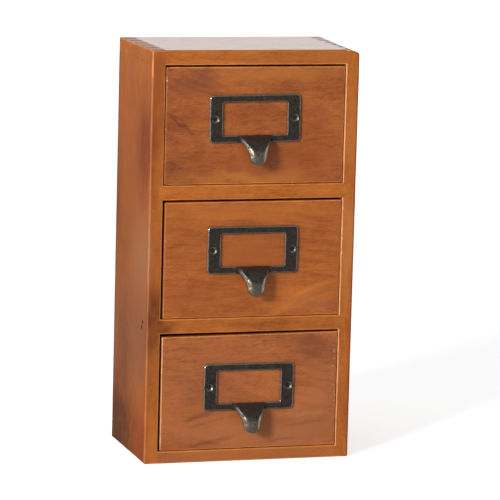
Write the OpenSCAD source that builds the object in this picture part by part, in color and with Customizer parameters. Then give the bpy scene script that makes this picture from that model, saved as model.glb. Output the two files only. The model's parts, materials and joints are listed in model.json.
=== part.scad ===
// Desktop mini drawers: a tall narrow wooden cabinet with three inset drawers, each with a
// cast label-frame pull. Millimetres, +Z up, the front faces -Y.
// The origin is the centre of the cabinet's underside.

/* [Cabinet] */
// Overall width of the cabinet
cab_w = 130; // [126:1:150]
// Depth of the cabinet from its front edges to its back
cab_d = 80; // [78:1:110]
// Clear height of each drawer opening
open_h = 72.5; // [70:0.5:90]
// Thickness of the two side boards
side_t = 8.5; // [8:0.5:10]
// Thickness of the top board
top_t = 9; // [8:0.5:12]
// Thickness of the bottom board
bottom_t = 7.5; // [7:0.5:12]
// Thickness of each shelf between the drawers
shelf_t = 9; // [8:0.5:12]
// Depth of the housing that lets a shelf end into a side board
housing = 2.5; // [1:0.5:4]
// Number of equal steps of each corner's finger joint, over the cabinet's depth
finger_n = 12; // [6:2:16]

/* [Back] */
// Thickness of the plywood back
back_t = 3; // [2:0.5:5]
// Width of the rebate that the back lies in
rebate = 4; // [3:0.5:5]
// Diameter of the panel pins, nails and brads
nail_d = 1.2; // [0.8:0.1:1.6]

/* [Drawers] */
// Gap between a drawer front and the left side board
gap_left = 1.0; // [0.8:0.1:1.6]
// Gap between a drawer front and the right side board
gap_right = 0.6; // [0.5:0.1:1.6]
// Gap between a drawer and the board that it slides on
gap_under = 0.4; // [0.3:0.1:0.8]
// Space between a closed drawer and the back
gap_back = 0.6; // [0.4:0.1:2]
// Thickness of a drawer front
front_t = 9; // [8:0.5:10]
// Thickness of a drawer's sides and back
wall_t = 5; // [4:0.5:6]
// Height of a drawer's sides
wall_h = 65; // [62:1:68]
// How far a drawer's sides stand in from the ends of its front
wall_inset = 0.4; // [0.2:0.1:1]
// Thickness of a drawer's plywood bottom
ply_t = 3; // [2:0.5:4]
// Height of a drawer's plywood bottom above the drawer's lower edge
ply_lift = 4; // [3:0.5:6]
// Depth of the groove that the plywood bottom sits in
groove = 2.5; // [1.5:0.5:3]

/* [Pulls] */
// Width of the label frame
plate_w = 57; // [54:0.5:62]
// Height of the label frame
plate_h = 29; // [28:0.5:32]
// Thickness of the label frame
plate_t = 1.8; // [1.5:0.1:2.4]
// Corner radius of the label frame
plate_r = 2.6; // [1.5:0.1:4]
// Width of the label window
window_w = 40.5; // [36:0.5:42]
// Height of the label window
window_h = 20; // [17:0.5:21]
// Distance between the two screws of a pull
screw_gap = 50; // [48:0.5:51]
// How far the finger tongue stands out from the drawer front
tongue_out = 11.5; // [10.5:0.5:14]
// How far the finger tongue reaches down from the middle of the label frame
tongue_down = 27.3; // [25.3:0.1:30]
// Radius of the bow in which the finger tongue leaves the label frame
tongue_bow = 14; // [13:0.5:15]
// Thickness of the finger tongue
tongue_t = 2.8; // [2.4:0.1:3]

/* [Hidden] */
$fn = 64;
e = 0.01;
ow = cab_w - 2 * side_t;                          // clear width of an opening
cab_h = bottom_t + 3 * open_h + 2 * shelf_t + top_t;
fy = -cab_d / 2;                                  // plane of the cabinet's front edges
by = cab_d / 2;                                   // plane of the cabinet's back
step = cab_d / finger_n;
// floor height of each opening, lowest first
floor_z = [for (i = [0:2]) bottom_t + i * (open_h + shelf_t)];
// the three drawers as they are fitted: 0 lower, 1 middle, 2 upper
top_gap_l = [2.0, 1.3, 1.1];                      // gap above the front at its left end
top_gap_r = [1.2, 1.3, 1.1];                      // and at its right end
fit_l = [-0.2, -0.3, 0.6];                        // how much closer the front's left end comes
fit_r = [0.2, 0.3, 0.2];                          // and its right end
pull_x = [-0.3, 0, -0.6];                         // pull's middle, from the cabinet's middle
pull_z = [2.7, 5.5, 4.0];                         // pull's middle, above the opening's middle
pull_tilt = [-0.2, 0, 0.7];                       // how far the pull is turned, degrees
tongue_x = [0.5, 0.4, 0];                         // how far its tongue was cast off its middle

fx0 = -ow / 2 + gap_left;                         // ends of a drawer front
fx1 = ow / 2 - gap_right;
wx0 = fx0 + wall_inset;                           // outer faces of a drawer's sides
wx1 = fx1 - wall_inset;
lap = front_t / 2;                                // depth of the front's end rebates
dy1 = by - back_t - gap_back;                     // rear end of a closed drawer
rail = (plate_h - window_h) / 2;

wood = "#a5602f";
wood_dark = "#8d4c27";
ply = "#c79a68";
iron = "#46403b";
steel = "#8f8b84";

// a box given by its lowest and highest corners
module span(a, b) translate(a) cube([b[0] - a[0], b[1] - a[1], b[2] - a[2]]);

// a straight pin from point p, of length l, along +X (0), -X (1), +Y (2), -Y (3) or +Z (4)
module pin(p, l, way, d = nail_d)
    translate(p)
        rotate(way == 0 ? [0, 90, 0] : way == 1 ? [0, -90, 0] : way == 2 ? [-90, 0, 0]
             : way == 3 ? [90, 0, 0] : [0, 0, 0])
            cylinder(h = l, d = d, $fn = 24);

// a nail with a small flat head at p
module nail(p, l, way) {
    pin(p, l, way);
    pin(p, 0.8, way, nail_d * 1.7);
}

// ---- cabinet ----

// the space that the back lies in, open to the rear
module back_space(x = 0)
    span([-ow / 2 - rebate - x, by - back_t, bottom_t - rebate - x],
         [ow / 2 + rebate + x, by + 1, cab_h - top_t + rebate + x]);

// the steps of the finger joints that the top and bottom boards fill, at both ends
module panel_steps(x0, x1, z0, z1)
    for (j = [1:2:finger_n - 1])
        span([x0, fy + j * step, z0], [x1, fy + (j + 1) * step, z1]);

// a side board; s = -1 left, 1 right
module side_board(s) {
    x0 = s < 0 ? -cab_w / 2 : cab_w / 2 - side_t;
    x1 = x0 + side_t;
    difference() {
        span([x0, fy, 0], [x1, by, cab_h]);
        panel_steps(x0 - 1, x1 + 1, cab_h - top_t, cab_h + 1);
        panel_steps(x0 - 1, x1 + 1, -1, bottom_t);
        back_space();
        for (i = [0:1])                           // housings for the two shelves
            span([s < 0 ? x1 - housing : x0 - 1, fy - 1, floor_z[i] + open_h],
                 [s < 0 ? x1 + 1 : x0 + housing, by - back_t, floor_z[i] + open_h + shelf_t]);
        if (s < 0)                                // two brads that were driven a little deep
            for (b = brad_at) if (b[0] < 0)
                pin([x0 - 1, fy + b[1], floor_z[0] + open_h + b[2]], 1.5, 0, nail_d * 1.3);
    }
}

// a top or bottom board, with the fingers that pass into the side boards
module end_board(z0, z1)
    difference() {
        union() {
            span([-ow / 2, fy, z0], [ow / 2, by, z1]);
            panel_steps(-cab_w / 2, -ow / 2 + e, z0, z1);
            panel_steps(ow / 2 - e, cab_w / 2, z0, z1);
        }
        back_space();
    }

module shelf(i)
    span([-ow / 2 - housing, fy, floor_z[i] + open_h],
         [ow / 2 + housing, by - back_t, floor_z[i] + open_h + shelf_t]);

// brads of one shelf end: [-1 near the front / 1 near the back, distance from the front, height]
brad_at = [[-1, 9.6, 5.9], [-1, 11.9, 2.4], [1, cab_d - 16, 5.6], [1, cab_d - 18.5, 2.6]];

module left_side() color(wood) side_board(-1);
module right_side() color(wood) side_board(1);
module top_panel() color(wood) end_board(cab_h - top_t, cab_h);
module bottom_panel() color(wood) end_board(0, bottom_t);
module upper_shelf() color(wood) shelf(1);
module lower_shelf() color(wood) shelf(0);

module back_panel()
    color(ply)
        span([-ow / 2 - rebate, by - back_t, bottom_t - rebate],
             [ow / 2 + rebate, by, cab_h - top_t + rebate]);

module back_pins()
    color(steel) {
        for (s = [-1, 1], i = [0:2], z = [0.22, 0.78])
            nail([s * (ow / 2 + rebate / 2), by, floor_z[i] + open_h * z], 12, 3);
        for (s = [-1, 1], z = [bottom_t - rebate / 2, cab_h - top_t + rebate / 2])
            nail([s * ow * 0.3, by, z], 12, 3);
        for (s = [-1, 1], i = [0:1])
            nail([s * ow * 0.25, by, floor_z[i] + open_h + shelf_t / 2], 12, 3);
    }

module shelf_brads()
    color(steel)
        for (i = [0:1], s = [-1, 1], b = brad_at)
            pin([s * (cab_w / 2 - 0.5), fy + b[1], floor_z[i] + open_h + b[2]], 20, s < 0 ? 0 : 1);

// ---- drawers ----

// a drawer front; its upper edge is not always parallel to its lower edge
module drawer_front(i)
    color(wood)
        difference() {
            translate([0, fy + front_t, floor_z[i]])
                rotate([90, 0, 0])
                    linear_extrude(front_t)
                        polygon([[fx0 - fit_l[i], gap_under], [fx1 + fit_r[i], gap_under],
                                 [fx1 + fit_r[i], open_h - top_gap_r[i]],
                                 [fx0 - fit_l[i], open_h - top_gap_l[i]]]);
            for (s = [0, 1])                      // rebates that take the sides
                span([s == 0 ? fx0 - 1 : wx1 - wall_t, fy + lap, floor_z[i] - 1],
                     [s == 0 ? wx0 + wall_t : fx1 + 1, fy + front_t + 1, floor_z[i] + open_h + 1]);
            span([fx0 - 1, fy + front_t - groove, floor_z[i] + gap_under + ply_lift],
                 [fx1 + 1, fy + front_t + 1, floor_z[i] + gap_under + ply_lift + ply_t]);
        }

// a drawer side with its groove; s = -1 left, 1 right
module drawer_side(i, s) {
    x0 = s < 0 ? wx0 : wx1 - wall_t;
    x1 = x0 + wall_t;
    z0 = floor_z[i] + gap_under;
    color(wood_dark)
        difference() {
            span([x0, fy + lap, z0], [x1, dy1, z0 + wall_h]);
            span([s < 0 ? x1 - groove : x0 - 1, fy + lap - 1, z0 + ply_lift],
                 [s < 0 ? x1 + 1 : x0 + groove, dy1 + 1, z0 + ply_lift + ply_t]);
        }
}

module drawer_back(i)
    color(wood_dark)
        span([wx0 + wall_t, dy1 - wall_t, floor_z[i] + gap_under + ply_lift + ply_t],
             [wx1 - wall_t, dy1, floor_z[i] + gap_under + wall_h]);

module drawer_bottom(i)
    color(ply)
        span([wx0 + wall_t - groove, fy + front_t - groove, floor_z[i] + gap_under + ply_lift],
             [wx1 - wall_t + groove, dy1, floor_z[i] + gap_under + ply_lift + ply_t]);

module drawer_nails(i) {
    z0 = floor_z[i] + gap_under;
    color(steel) {
        for (z = [0.25, 0.78], y = [fy + (lap + front_t) / 2, dy1 - wall_t / 2]) {
            nail([wx0, y, z0 + wall_h * z], 16, 0);
            nail([wx1, y, z0 + wall_h * z], 16, 1);
        }
        for (x = [-0.25, 0.25])
            nail([x * ow, dy1 - wall_t / 2, z0 + ply_lift], 12, 4);
    }
}

// ---- pulls ----

// rectangle with round corners
module round_rect(w, h, r) {
    square([w - 2 * r, h], center = true);
    square([w, h - 2 * r], center = true);
    for (x = [-1, 1], y = [-1, 1]) translate([x * (w / 2 - r), y * (h / 2 - r)]) circle(r = r);
}

// upright plate in the XZ plane from y = y0 forward to y = y0 - t
module upright(y0, t) translate([0, y0, 0]) rotate([90, 0, 0]) linear_extrude(t) children();

// half width of the tongue at depth z below the middle of the frame
function tongue_half(z) =
    min(9.4, end_r + 6.3 * pow(max(0, 1 - (z - rail_z) / (tongue_down - end_r - rail_z)), 1.5));
rail_z = window_h / 2 + 0.3;
bow_y = tongue_out - tongue_bow;                  // centre of the bow: out from the drawer front
bow_z = rail_z + sqrt(pow(tongue_bow, 2) - pow(plate_t - bow_y, 2));   // and below the middle
// how far the tongue's outer face stands out at depth z
function tongue_face(z) =
    z > bow_z ? tongue_out : bow_y + sqrt(pow(tongue_bow, 2) - pow(bow_z - z, 2));
end_r = 5.3;                                      // round end of the tongue

// strip of the tongue's outline from depth z0 to z1, between two insets from its right edge
module tongue_strip(z0, z1, in0, in1) {
    n = 14;
    zs = [for (k = [0:n]) z0 + (z1 - z0) * k / n];
    polygon(concat([for (z = zs) [tongue_half(z) - in0, -z]],
                   [for (k = [0:n]) [in1 < 0 ? -tongue_half(zs[n - k]) : tongue_half(zs[n - k]) - in1,
                                     -zs[n - k]]]));
}

// the tongue seen from the side: a bow out of the lower rail, then a lip that hangs down.
// x is the distance out from the drawer front
module tongue_side() {
    root = bow_z - sqrt(pow(tongue_bow - tongue_t, 2) - pow(plate_t - bow_y, 2));
    intersection() {
        translate([plate_t - 0.3, -bow_z]) square([tongue_bow, tongue_bow]);
        difference() {
            translate([bow_y, -bow_z]) circle(r = tongue_bow, $fn = 160);
            translate([bow_y, -bow_z]) circle(r = tongue_bow - tongue_t, $fn = 160);
        }
    }
    translate([plate_t - 0.6, -root]) square([0.7, root - rail_z]);
    translate([tongue_out - tongue_t, -(tongue_down - tongue_t / 2)])
        square([tongue_t, max(0.1, tongue_down - tongue_t / 2 - bow_z + e)]);
    translate([tongue_out - tongue_t / 2, -(tongue_down - tongue_t / 2)]) circle(d = tongue_t);
}

// the filled end of the bow, seen from the side
module arch_end()
    intersection() {
        translate([plate_t - 0.6, -bow_z]) square([tongue_bow, tongue_bow]);
        translate([bow_y, -bow_z]) circle(r = tongue_bow - 0.8, $fn = 160);
    }

// what is taken off a long edge of the tongue; s = -1 left, 1 right
module facet(s)
    translate([0, 0, -19])
        mirror([s < 0 ? 1 : 0, 0, 0])
            translate([tongue_half(19) - 2.5, -tongue_face(19), 0]) rotate([-12, 14, 0])
                translate([0, 0, -15]) linear_extrude(30)
                    polygon([[-2.2, -1.65], [3.8, 2.85], [12, 2.85], [12, -1.65]]);

// one casting: label frame and finger tongue, its back face on y = 0; dx moves the tongue
module pull_body(dx) {
    difference() {
        upright(0, plate_t) round_rect(plate_w, plate_h, plate_r);
        upright(1, plate_t + 2) round_rect(window_w, window_h, 1);
        // shallow pocket behind the frame, open at the top, that a paper label slides into
        upright(1, 1.6) translate([-window_w / 2 - 2, -window_h / 2 - 1.5])
            square([window_w + 4, window_h / 2 + plate_h / 2 + 2.5]);
        for (s = [-1, 1]) {
            upright(1, plate_t + 2) translate([s * screw_gap / 2, 0]) circle(r = 1.25);
            translate([s * screw_gap / 2, -plate_t - e, 0])
                rotate([-90, 0, 0]) cylinder(h = 1.1, r1 = 2.35, r2 = 1.25);
        }
    }
    translate([dx, 0, 0]) difference() {
        intersection() {
            rotate([90, 0, 0]) linear_extrude(tongue_out + 2) {
                tongue_strip(rail_z, tongue_down - end_r, 0, -1);
                translate([0, -(tongue_down - end_r)]) circle(r = end_r);
            }
            rotate([90, 0, -90]) translate([0, 0, -plate_w / 2]) linear_extrude(plate_w)
                tongue_side();
        }
        for (s = [-1, 1]) facet(s);
    }
    // cheeks that close the arch's ends over the height of the rail
    for (s = [0, 1]) translate([dx, 0, 0]) mirror([s, 0, 0])
        intersection() {
            rotate([90, 0, 0]) linear_extrude(tongue_out + 2)
                tongue_strip(rail_z + 0.5, plate_h / 2 - 0.3, 0.3, 2.1);
            rotate([90, 0, -90]) translate([0, 0, -plate_w / 2]) linear_extrude(plate_w)
                arch_end();
        }
}

// puts a pull's own frame on drawer i
module on_drawer(i)
    translate([pull_x[i], fy, floor_z[i] + open_h / 2 + pull_z[i]]) rotate([0, -pull_tilt[i], 0])
        children();

module pull(i) color(iron) on_drawer(i) pull_body(tongue_x[i]);

// a countersunk wood screw with a slot, its head deep in the countersink
module pull_screw(s)
    translate([s * screw_gap / 2, -plate_t + 0.7, 0])
        rotate([-90, 0, 0])
            difference() {
                rotate_extrude()
                    polygon([[0, 0], [1.58, 0], [1.15, 0.43], [1, 0.8], [1, 6.2], [0, 7.4]]);
                translate([-3, -0.25, -1]) cube([6, 0.5, 1.25]);
            }

module pull_screws(i) color(iron) on_drawer(i) for (s = [-1, 1]) pull_screw(s);

left_side();
right_side();
top_panel();
bottom_panel();
upper_shelf();
lower_shelf();
back_panel();
back_pins();
shelf_brads();
drawer_front(2);  // upper_drawer_front
drawer_side(2, -1);  // upper_drawer_left_side
drawer_side(2, 1);  // upper_drawer_right_side
drawer_back(2);  // upper_drawer_back
drawer_bottom(2);  // upper_drawer_bottom
drawer_nails(2);  // upper_drawer_nails
pull(2);  // upper_pull
pull_screws(2);  // upper_pull_screws
drawer_front(1);  // middle_drawer_front
drawer_side(1, -1);  // middle_drawer_left_side
drawer_side(1, 1);  // middle_drawer_right_side
drawer_back(1);  // middle_drawer_back
drawer_bottom(1);  // middle_drawer_bottom
drawer_nails(1);  // middle_drawer_nails
pull(1);  // middle_pull
pull_screws(1);  // middle_pull_screws
drawer_front(0);  // lower_drawer_front
drawer_side(0, -1);  // lower_drawer_left_side
drawer_side(0, 1);  // lower_drawer_right_side
drawer_back(0);  // lower_drawer_back
drawer_bottom(0);  // lower_drawer_bottom
drawer_nails(0);  // lower_drawer_nails
pull(0);  // lower_pull
pull_screws(0);  // lower_pull_screws
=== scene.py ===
import json
import math

import bmesh
import bpy
import numpy as np
from mathutils import Matrix, Vector, noise


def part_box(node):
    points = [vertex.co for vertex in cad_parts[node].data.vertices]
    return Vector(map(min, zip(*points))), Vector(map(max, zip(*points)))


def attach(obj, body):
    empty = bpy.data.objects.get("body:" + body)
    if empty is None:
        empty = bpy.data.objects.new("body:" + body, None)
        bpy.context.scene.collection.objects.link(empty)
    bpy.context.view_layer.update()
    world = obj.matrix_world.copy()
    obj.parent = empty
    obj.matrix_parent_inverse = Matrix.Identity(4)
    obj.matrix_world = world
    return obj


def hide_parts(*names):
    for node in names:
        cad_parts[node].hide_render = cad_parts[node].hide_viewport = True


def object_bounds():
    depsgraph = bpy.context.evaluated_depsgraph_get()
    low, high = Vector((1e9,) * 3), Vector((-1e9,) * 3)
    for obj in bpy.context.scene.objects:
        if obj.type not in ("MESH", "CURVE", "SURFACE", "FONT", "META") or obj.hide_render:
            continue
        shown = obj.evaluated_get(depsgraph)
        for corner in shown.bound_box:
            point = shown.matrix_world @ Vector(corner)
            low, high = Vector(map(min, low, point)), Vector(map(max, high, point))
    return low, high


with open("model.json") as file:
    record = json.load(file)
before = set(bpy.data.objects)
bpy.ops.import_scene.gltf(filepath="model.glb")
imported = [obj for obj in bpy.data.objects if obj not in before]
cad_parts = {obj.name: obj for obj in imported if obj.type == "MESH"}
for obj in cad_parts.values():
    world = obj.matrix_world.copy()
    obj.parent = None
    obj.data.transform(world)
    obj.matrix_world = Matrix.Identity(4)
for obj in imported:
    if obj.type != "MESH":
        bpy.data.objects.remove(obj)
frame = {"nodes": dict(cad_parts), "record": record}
cad_lo, cad_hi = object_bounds()
BODY = {n: b for b, ns in frame["record"]["behaviour"]["bodies"].items() for n in ns}
MM = 0.001


# ------------------------------------------------------------------ mesh helpers
# Every shape is made in millimetres in the row frame and scaled to metres at the end.

def wobble(p, size, seed):
    """Smooth noise from -1 to 1 at a point, with features of about that size in mm."""
    return noise.noise(Vector((p[0] / size + seed * 7.13, p[1] / size - seed * 3.7, p[2] / size + seed * 1.9)))


def mesh_from(name, verts, faces):
    me = bpy.data.meshes.new(name)
    me.from_pydata([tuple(v) for v in verts], [], [tuple(f) for f in faces])
    me.validate()
    me.update()
    return me


def temp_object(me):
    ob = bpy.data.objects.new("tmp_" + me.name, me)
    bpy.context.scene.collection.objects.link(ob)
    return ob


def drop_object(ob):
    me = ob.data
    bpy.data.objects.remove(ob)
    if me.users == 0:
        bpy.data.meshes.remove(me)


def evaluated(ob):
    bpy.context.view_layer.update()
    dg = bpy.context.evaluated_depsgraph_get()
    me = bpy.data.meshes.new_from_object(ob.evaluated_get(dg), preserve_all_data_layers=True, depsgraph=dg)
    return me


def node_mesh(node):
    """A node's mesh in mm, welded, with each flat face as one polygon."""
    bm = bmesh.new()
    bm.from_mesh(frame["nodes"][node].data)
    bmesh.ops.scale(bm, vec=(1000, 1000, 1000), verts=bm.verts)
    bmesh.ops.remove_doubles(bm, verts=bm.verts, dist=0.002)
    bmesh.ops.dissolve_limit(bm, angle_limit=math.radians(1), use_dissolve_boundaries=False,
                             verts=bm.verts, edges=bm.edges)
    bmesh.ops.recalc_face_normals(bm, faces=bm.faces)
    return bm


def ease_edges(bm, width, segments=1, least=30, keep=None):
    """Takes the sharp outer edges off by that width."""
    edges = [e for e in bm.edges if len(e.link_faces) == 2 and e.is_convex
             and math.degrees(e.calc_face_angle(0)) > least and (keep is None or keep(e))]
    if edges:
        bmesh.ops.bevel(bm, geom=edges, offset=width, offset_type="OFFSET", segments=segments,
                        profile=0.5, affect="EDGES", clamp_overlap=True)
    return bm


def boolean(me, cutter, operation):
    a, b = temp_object(me), temp_object(cutter)
    m = a.modifiers.new("b", "BOOLEAN")
    m.operation, m.solver, m.object = operation, "EXACT", b
    out = evaluated(a)
    drop_object(a)
    drop_object(b)
    return out


def finish_mesh(me, angle=34, weighted=True):
    """Smooth shading with sharp edges kept, and normals that follow the large flat faces."""
    bm = bmesh.new()
    bm.from_mesh(me)
    bmesh.ops.remove_doubles(bm, verts=bm.verts, dist=0.004)
    bmesh.ops.dissolve_degenerate(bm, dist=0.003, edges=bm.edges)
    slits = [e for e in bm.edges if e.is_boundary]
    if slits:
        bmesh.ops.holes_fill(bm, edges=slits, sides=0)
    for f in bm.faces:
        f.smooth = True
    for e in bm.edges:
        e.smooth = len(e.link_faces) == 2 and math.degrees(e.calc_face_angle(0)) < angle
    bm.to_mesh(me)
    bm.free()
    if weighted:
        ob = temp_object(me)
        m = ob.modifiers.new("w", "WEIGHTED_NORMAL")
        m.mode, m.keep_sharp, m.weight = "FACE_AREA", True, 50
        out = evaluated(ob)
        drop_object(ob)
        me = out
    return me


def piece(name, me, nodes, mats, body=None):
    me.transform(Matrix.Scale(MM, 4))
    co = np.empty(len(me.vertices) * 3, np.float32)
    me.vertices.foreach_get("co", co)
    co = np.clip(co.reshape(-1, 3), np.array(cad_lo) + 2e-6, np.array(cad_hi) - 2e-6)
    me.vertices.foreach_set("co", co.ravel().astype(np.float32))
    me.update()
    me.name = name
    ob = bpy.data.objects.new(name, me)
    bpy.context.scene.collection.objects.link(ob)
    ob.data.materials.clear()
    for m in (mats if isinstance(mats, (list, tuple)) else [mats]):
        ob.data.materials.append(m)
    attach(ob, body or BODY[nodes[0]])
    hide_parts(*nodes)
    return ob


def ticks(a, b, edge, pitch, extra=()):
    """Places along one side of a box: close together where its edges are rounded."""
    near = [edge * (1 - math.tan(math.radians(45 * k / 5))) for k in range(5, -1, -1)]   # 0 .. edge
    near = sorted(set(round(x, 6) for x in near)) + [edge + 0.35]
    n = max(1, round((b - a - 2 * near[-1]) / pitch))
    mid = [a + near[-1] + (b - a - 2 * near[-1]) * k / n for k in range(1, n)]
    out = [a + x for x in near] + mid + [b - x for x in reversed(near)] + [x for x in extra]
    return sorted(set(round(x, 5) for x in out))


def rounded_box(name, lo, hi, radius, rmax, pitch, extra=((), (), ()), bend=None):
    """A closed box whose edges are rounded by radius(point), which may differ from place to place."""
    ax = [ticks(lo[i], hi[i], rmax, pitch, extra[i]) for i in range(3)]
    n = [len(a) for a in ax]
    ids, verts = {}, []
    lo, hi = np.array(lo, float), np.array(hi, float)

    def vid(i, j, k):
        key = (i, j, k)
        if key not in ids:
            p = np.array((ax[0][i], ax[1][j], ax[2][k]))
            r = min(rmax, max(0.05, radius(p)))
            q = np.minimum(np.maximum(p, lo + r), hi - r)
            v = p - q
            length = np.linalg.norm(v)
            p = q + v * (r / length) if length > 1e-9 else p
            if bend is not None:
                p = bend(p)
            ids[key] = len(verts)
            verts.append(p)
        return ids[key]

    faces = []
    for d in range(3):
        u, w = (d + 1) % 3, (d + 2) % 3
        for side in (0, n[d] - 1):
            for a in range(n[u] - 1):
                for b in range(n[w] - 1):
                    quad = []
                    for da, db in ((0, 0), (1, 0), (1, 1), (0, 1)):
                        idx = [0, 0, 0]
                        idx[d], idx[u], idx[w] = side, a + da, b + db
                        quad.append(vid(*idx))
                    faces.append(quad if side else quad[::-1])
    return mesh_from(name, verts, faces)


# ------------------------------------------------------------------ surfaces from distance fields

def surface_nets(field, lo, hi, h):
    """The zero surface of field(x, y, z) as a mesh of small four-sided faces."""
    axes = [np.arange(lo[i] - h, hi[i] + 2 * h, h) for i in range(3)]
    X, Y, Z = np.meshgrid(*axes, indexing="ij")
    D = field(X, Y, Z)
    S = (D < 0)
    total = np.zeros(tuple(s - 1 for s in S.shape), np.int8)
    for i in (0, 1):
        for j in (0, 1):
            for k in (0, 1):
                total += S[i:S.shape[0] - 1 + i, j:S.shape[1] - 1 + j, k:S.shape[2] - 1 + k]
    mixed = (total > 0) & (total < 8)
    ids = -np.ones(mixed.shape, np.int64)
    ids[mixed] = np.arange(mixed.sum())
    ci, cj, ck = np.nonzero(mixed)
    acc = np.zeros((len(ci), 3))
    cnt = np.zeros(len(ci))
    corners = [(i, j, k) for i in (0, 1) for j in (0, 1) for k in (0, 1)]
    for a in corners:
        for b in corners:
            if sum(abs(x - y) for x, y in zip(a, b)) != 1 or a > b:
                continue
            da = D[ci + a[0], cj + a[1], ck + a[2]]
            db = D[ci + b[0], cj + b[1], ck + b[2]]
            cross = (da < 0) != (db < 0)
            t = np.where(cross, da / np.where(cross, da - db, 1), 0)
            for ax in range(3):
                acc[:, ax] += np.where(cross, a[ax] + (b[ax] - a[ax]) * t, 0)
            cnt += cross
    pos = acc / cnt[:, None] + np.stack([ci, cj, ck], 1)
    pos = np.stack([axes[i][0] + pos[:, i] * h for i in range(3)], 1)
    faces = []
    for ax in range(3):
        u, w = (ax + 1) % 3, (ax + 2) % 3
        a = [slice(None)] * 3
        b = [slice(None)] * 3
        a[ax], b[ax] = slice(0, -1), slice(1, None)
        change = S[tuple(a)] != S[tuple(b)]
        inside = S[tuple(a)]
        idx = np.array(np.nonzero(change)).T
        ok = (idx[:, u] > 0) & (idx[:, w] > 0) & (idx[:, u] < S.shape[u] - 1) & (idx[:, w] < S.shape[w] - 1)
        idx = idx[ok]
        flip = inside[tuple(idx.T)]
        quad = []
        for du, dw in ((-1, -1), (0, -1), (0, 0), (-1, 0)):
            c = idx.copy()
            c[:, u] += du
            c[:, w] += dw
            quad.append(ids[tuple(c.T)])
        quad = np.stack(quad, 1)
        quad[~flip] = quad[~flip][:, ::-1]
        faces.append(quad)
    faces = np.concatenate(faces)
    # settle the points onto the surface
    for _ in range(3):
        d, g = field_grad(field, pos)
        step = np.clip(d, -0.4 * h, 0.4 * h)
        pos = pos - g * step[:, None]
    return pos, faces


def field_grad(field, pos, e=0.02):
    d = field(*pos.T)
    g = np.stack([
        field(pos[:, 0] + e, pos[:, 1], pos[:, 2]) - field(pos[:, 0] - e, pos[:, 1], pos[:, 2]),
        field(pos[:, 0], pos[:, 1] + e, pos[:, 2]) - field(pos[:, 0], pos[:, 1] - e, pos[:, 2]),
        field(pos[:, 0], pos[:, 1], pos[:, 2] + e) - field(pos[:, 0], pos[:, 1], pos[:, 2] - e)], 1)
    return d, g / np.maximum(np.linalg.norm(g, axis=1, keepdims=True), 1e-9)


def bulge(field, pos, reach):
    """How convex the surface is at each point: above 0 on outer edges, below 0 in inner corners."""
    _, g = field_grad(field, pos)
    ref = np.where(np.abs(g[:, :1]) < 0.8, np.array([[1.0, 0, 0]]), np.array([[0, 1.0, 0]]))
    t1 = np.cross(g, ref)
    t1 /= np.linalg.norm(t1, axis=1, keepdims=True)
    t2 = np.cross(g, t1)
    total = 0
    for t in (t1, t2, -t1, -t2, (t1 + t2) * 0.707, (t1 - t2) * 0.707, -(t1 + t2) * 0.707, (t2 - t1) * 0.707):
        total = total + field(*(pos + t * reach).T)
    return total / 8 / reach


def rmax_(a, b, r):
    """The larger of two distances, with the corner between them rounded by r."""
    return np.minimum(-r, np.maximum(a, b)) + np.hypot(np.maximum(a + r, 0), np.maximum(b + r, 0))


def smin(a, b, k):
    h = np.clip(0.5 + 0.5 * (b - a) / k, 0, 1)
    return b * (1 - h) + a * h - k * h * (1 - h)


def waves(x, y, z, size, seed):
    """Smooth repeatable unevenness from -1 to 1, made of a few crossing waves."""
    rng = np.random.RandomState(seed)
    out = 0
    for _ in range(7):
        v = rng.normal(size=3)
        v = v / np.linalg.norm(v) * (2 * math.pi / size) * rng.uniform(0.6, 1.5)
        out = out + np.sin(x * v[0] + y * v[1] + z * v[2] + rng.uniform(0, 6.28))
    return out / 3.2


# ------------------------------------------------------------------ shader helpers

def lin(r, g, b):
    """A colour given in 0..255 screen values, as the linear values that shaders use."""
    def one(c):
        c /= 255
        return c / 12.92 if c <= 0.04045 else ((c + 0.055) / 1.055) ** 2.4
    return (one(r), one(g), one(b), 1.0)


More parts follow.
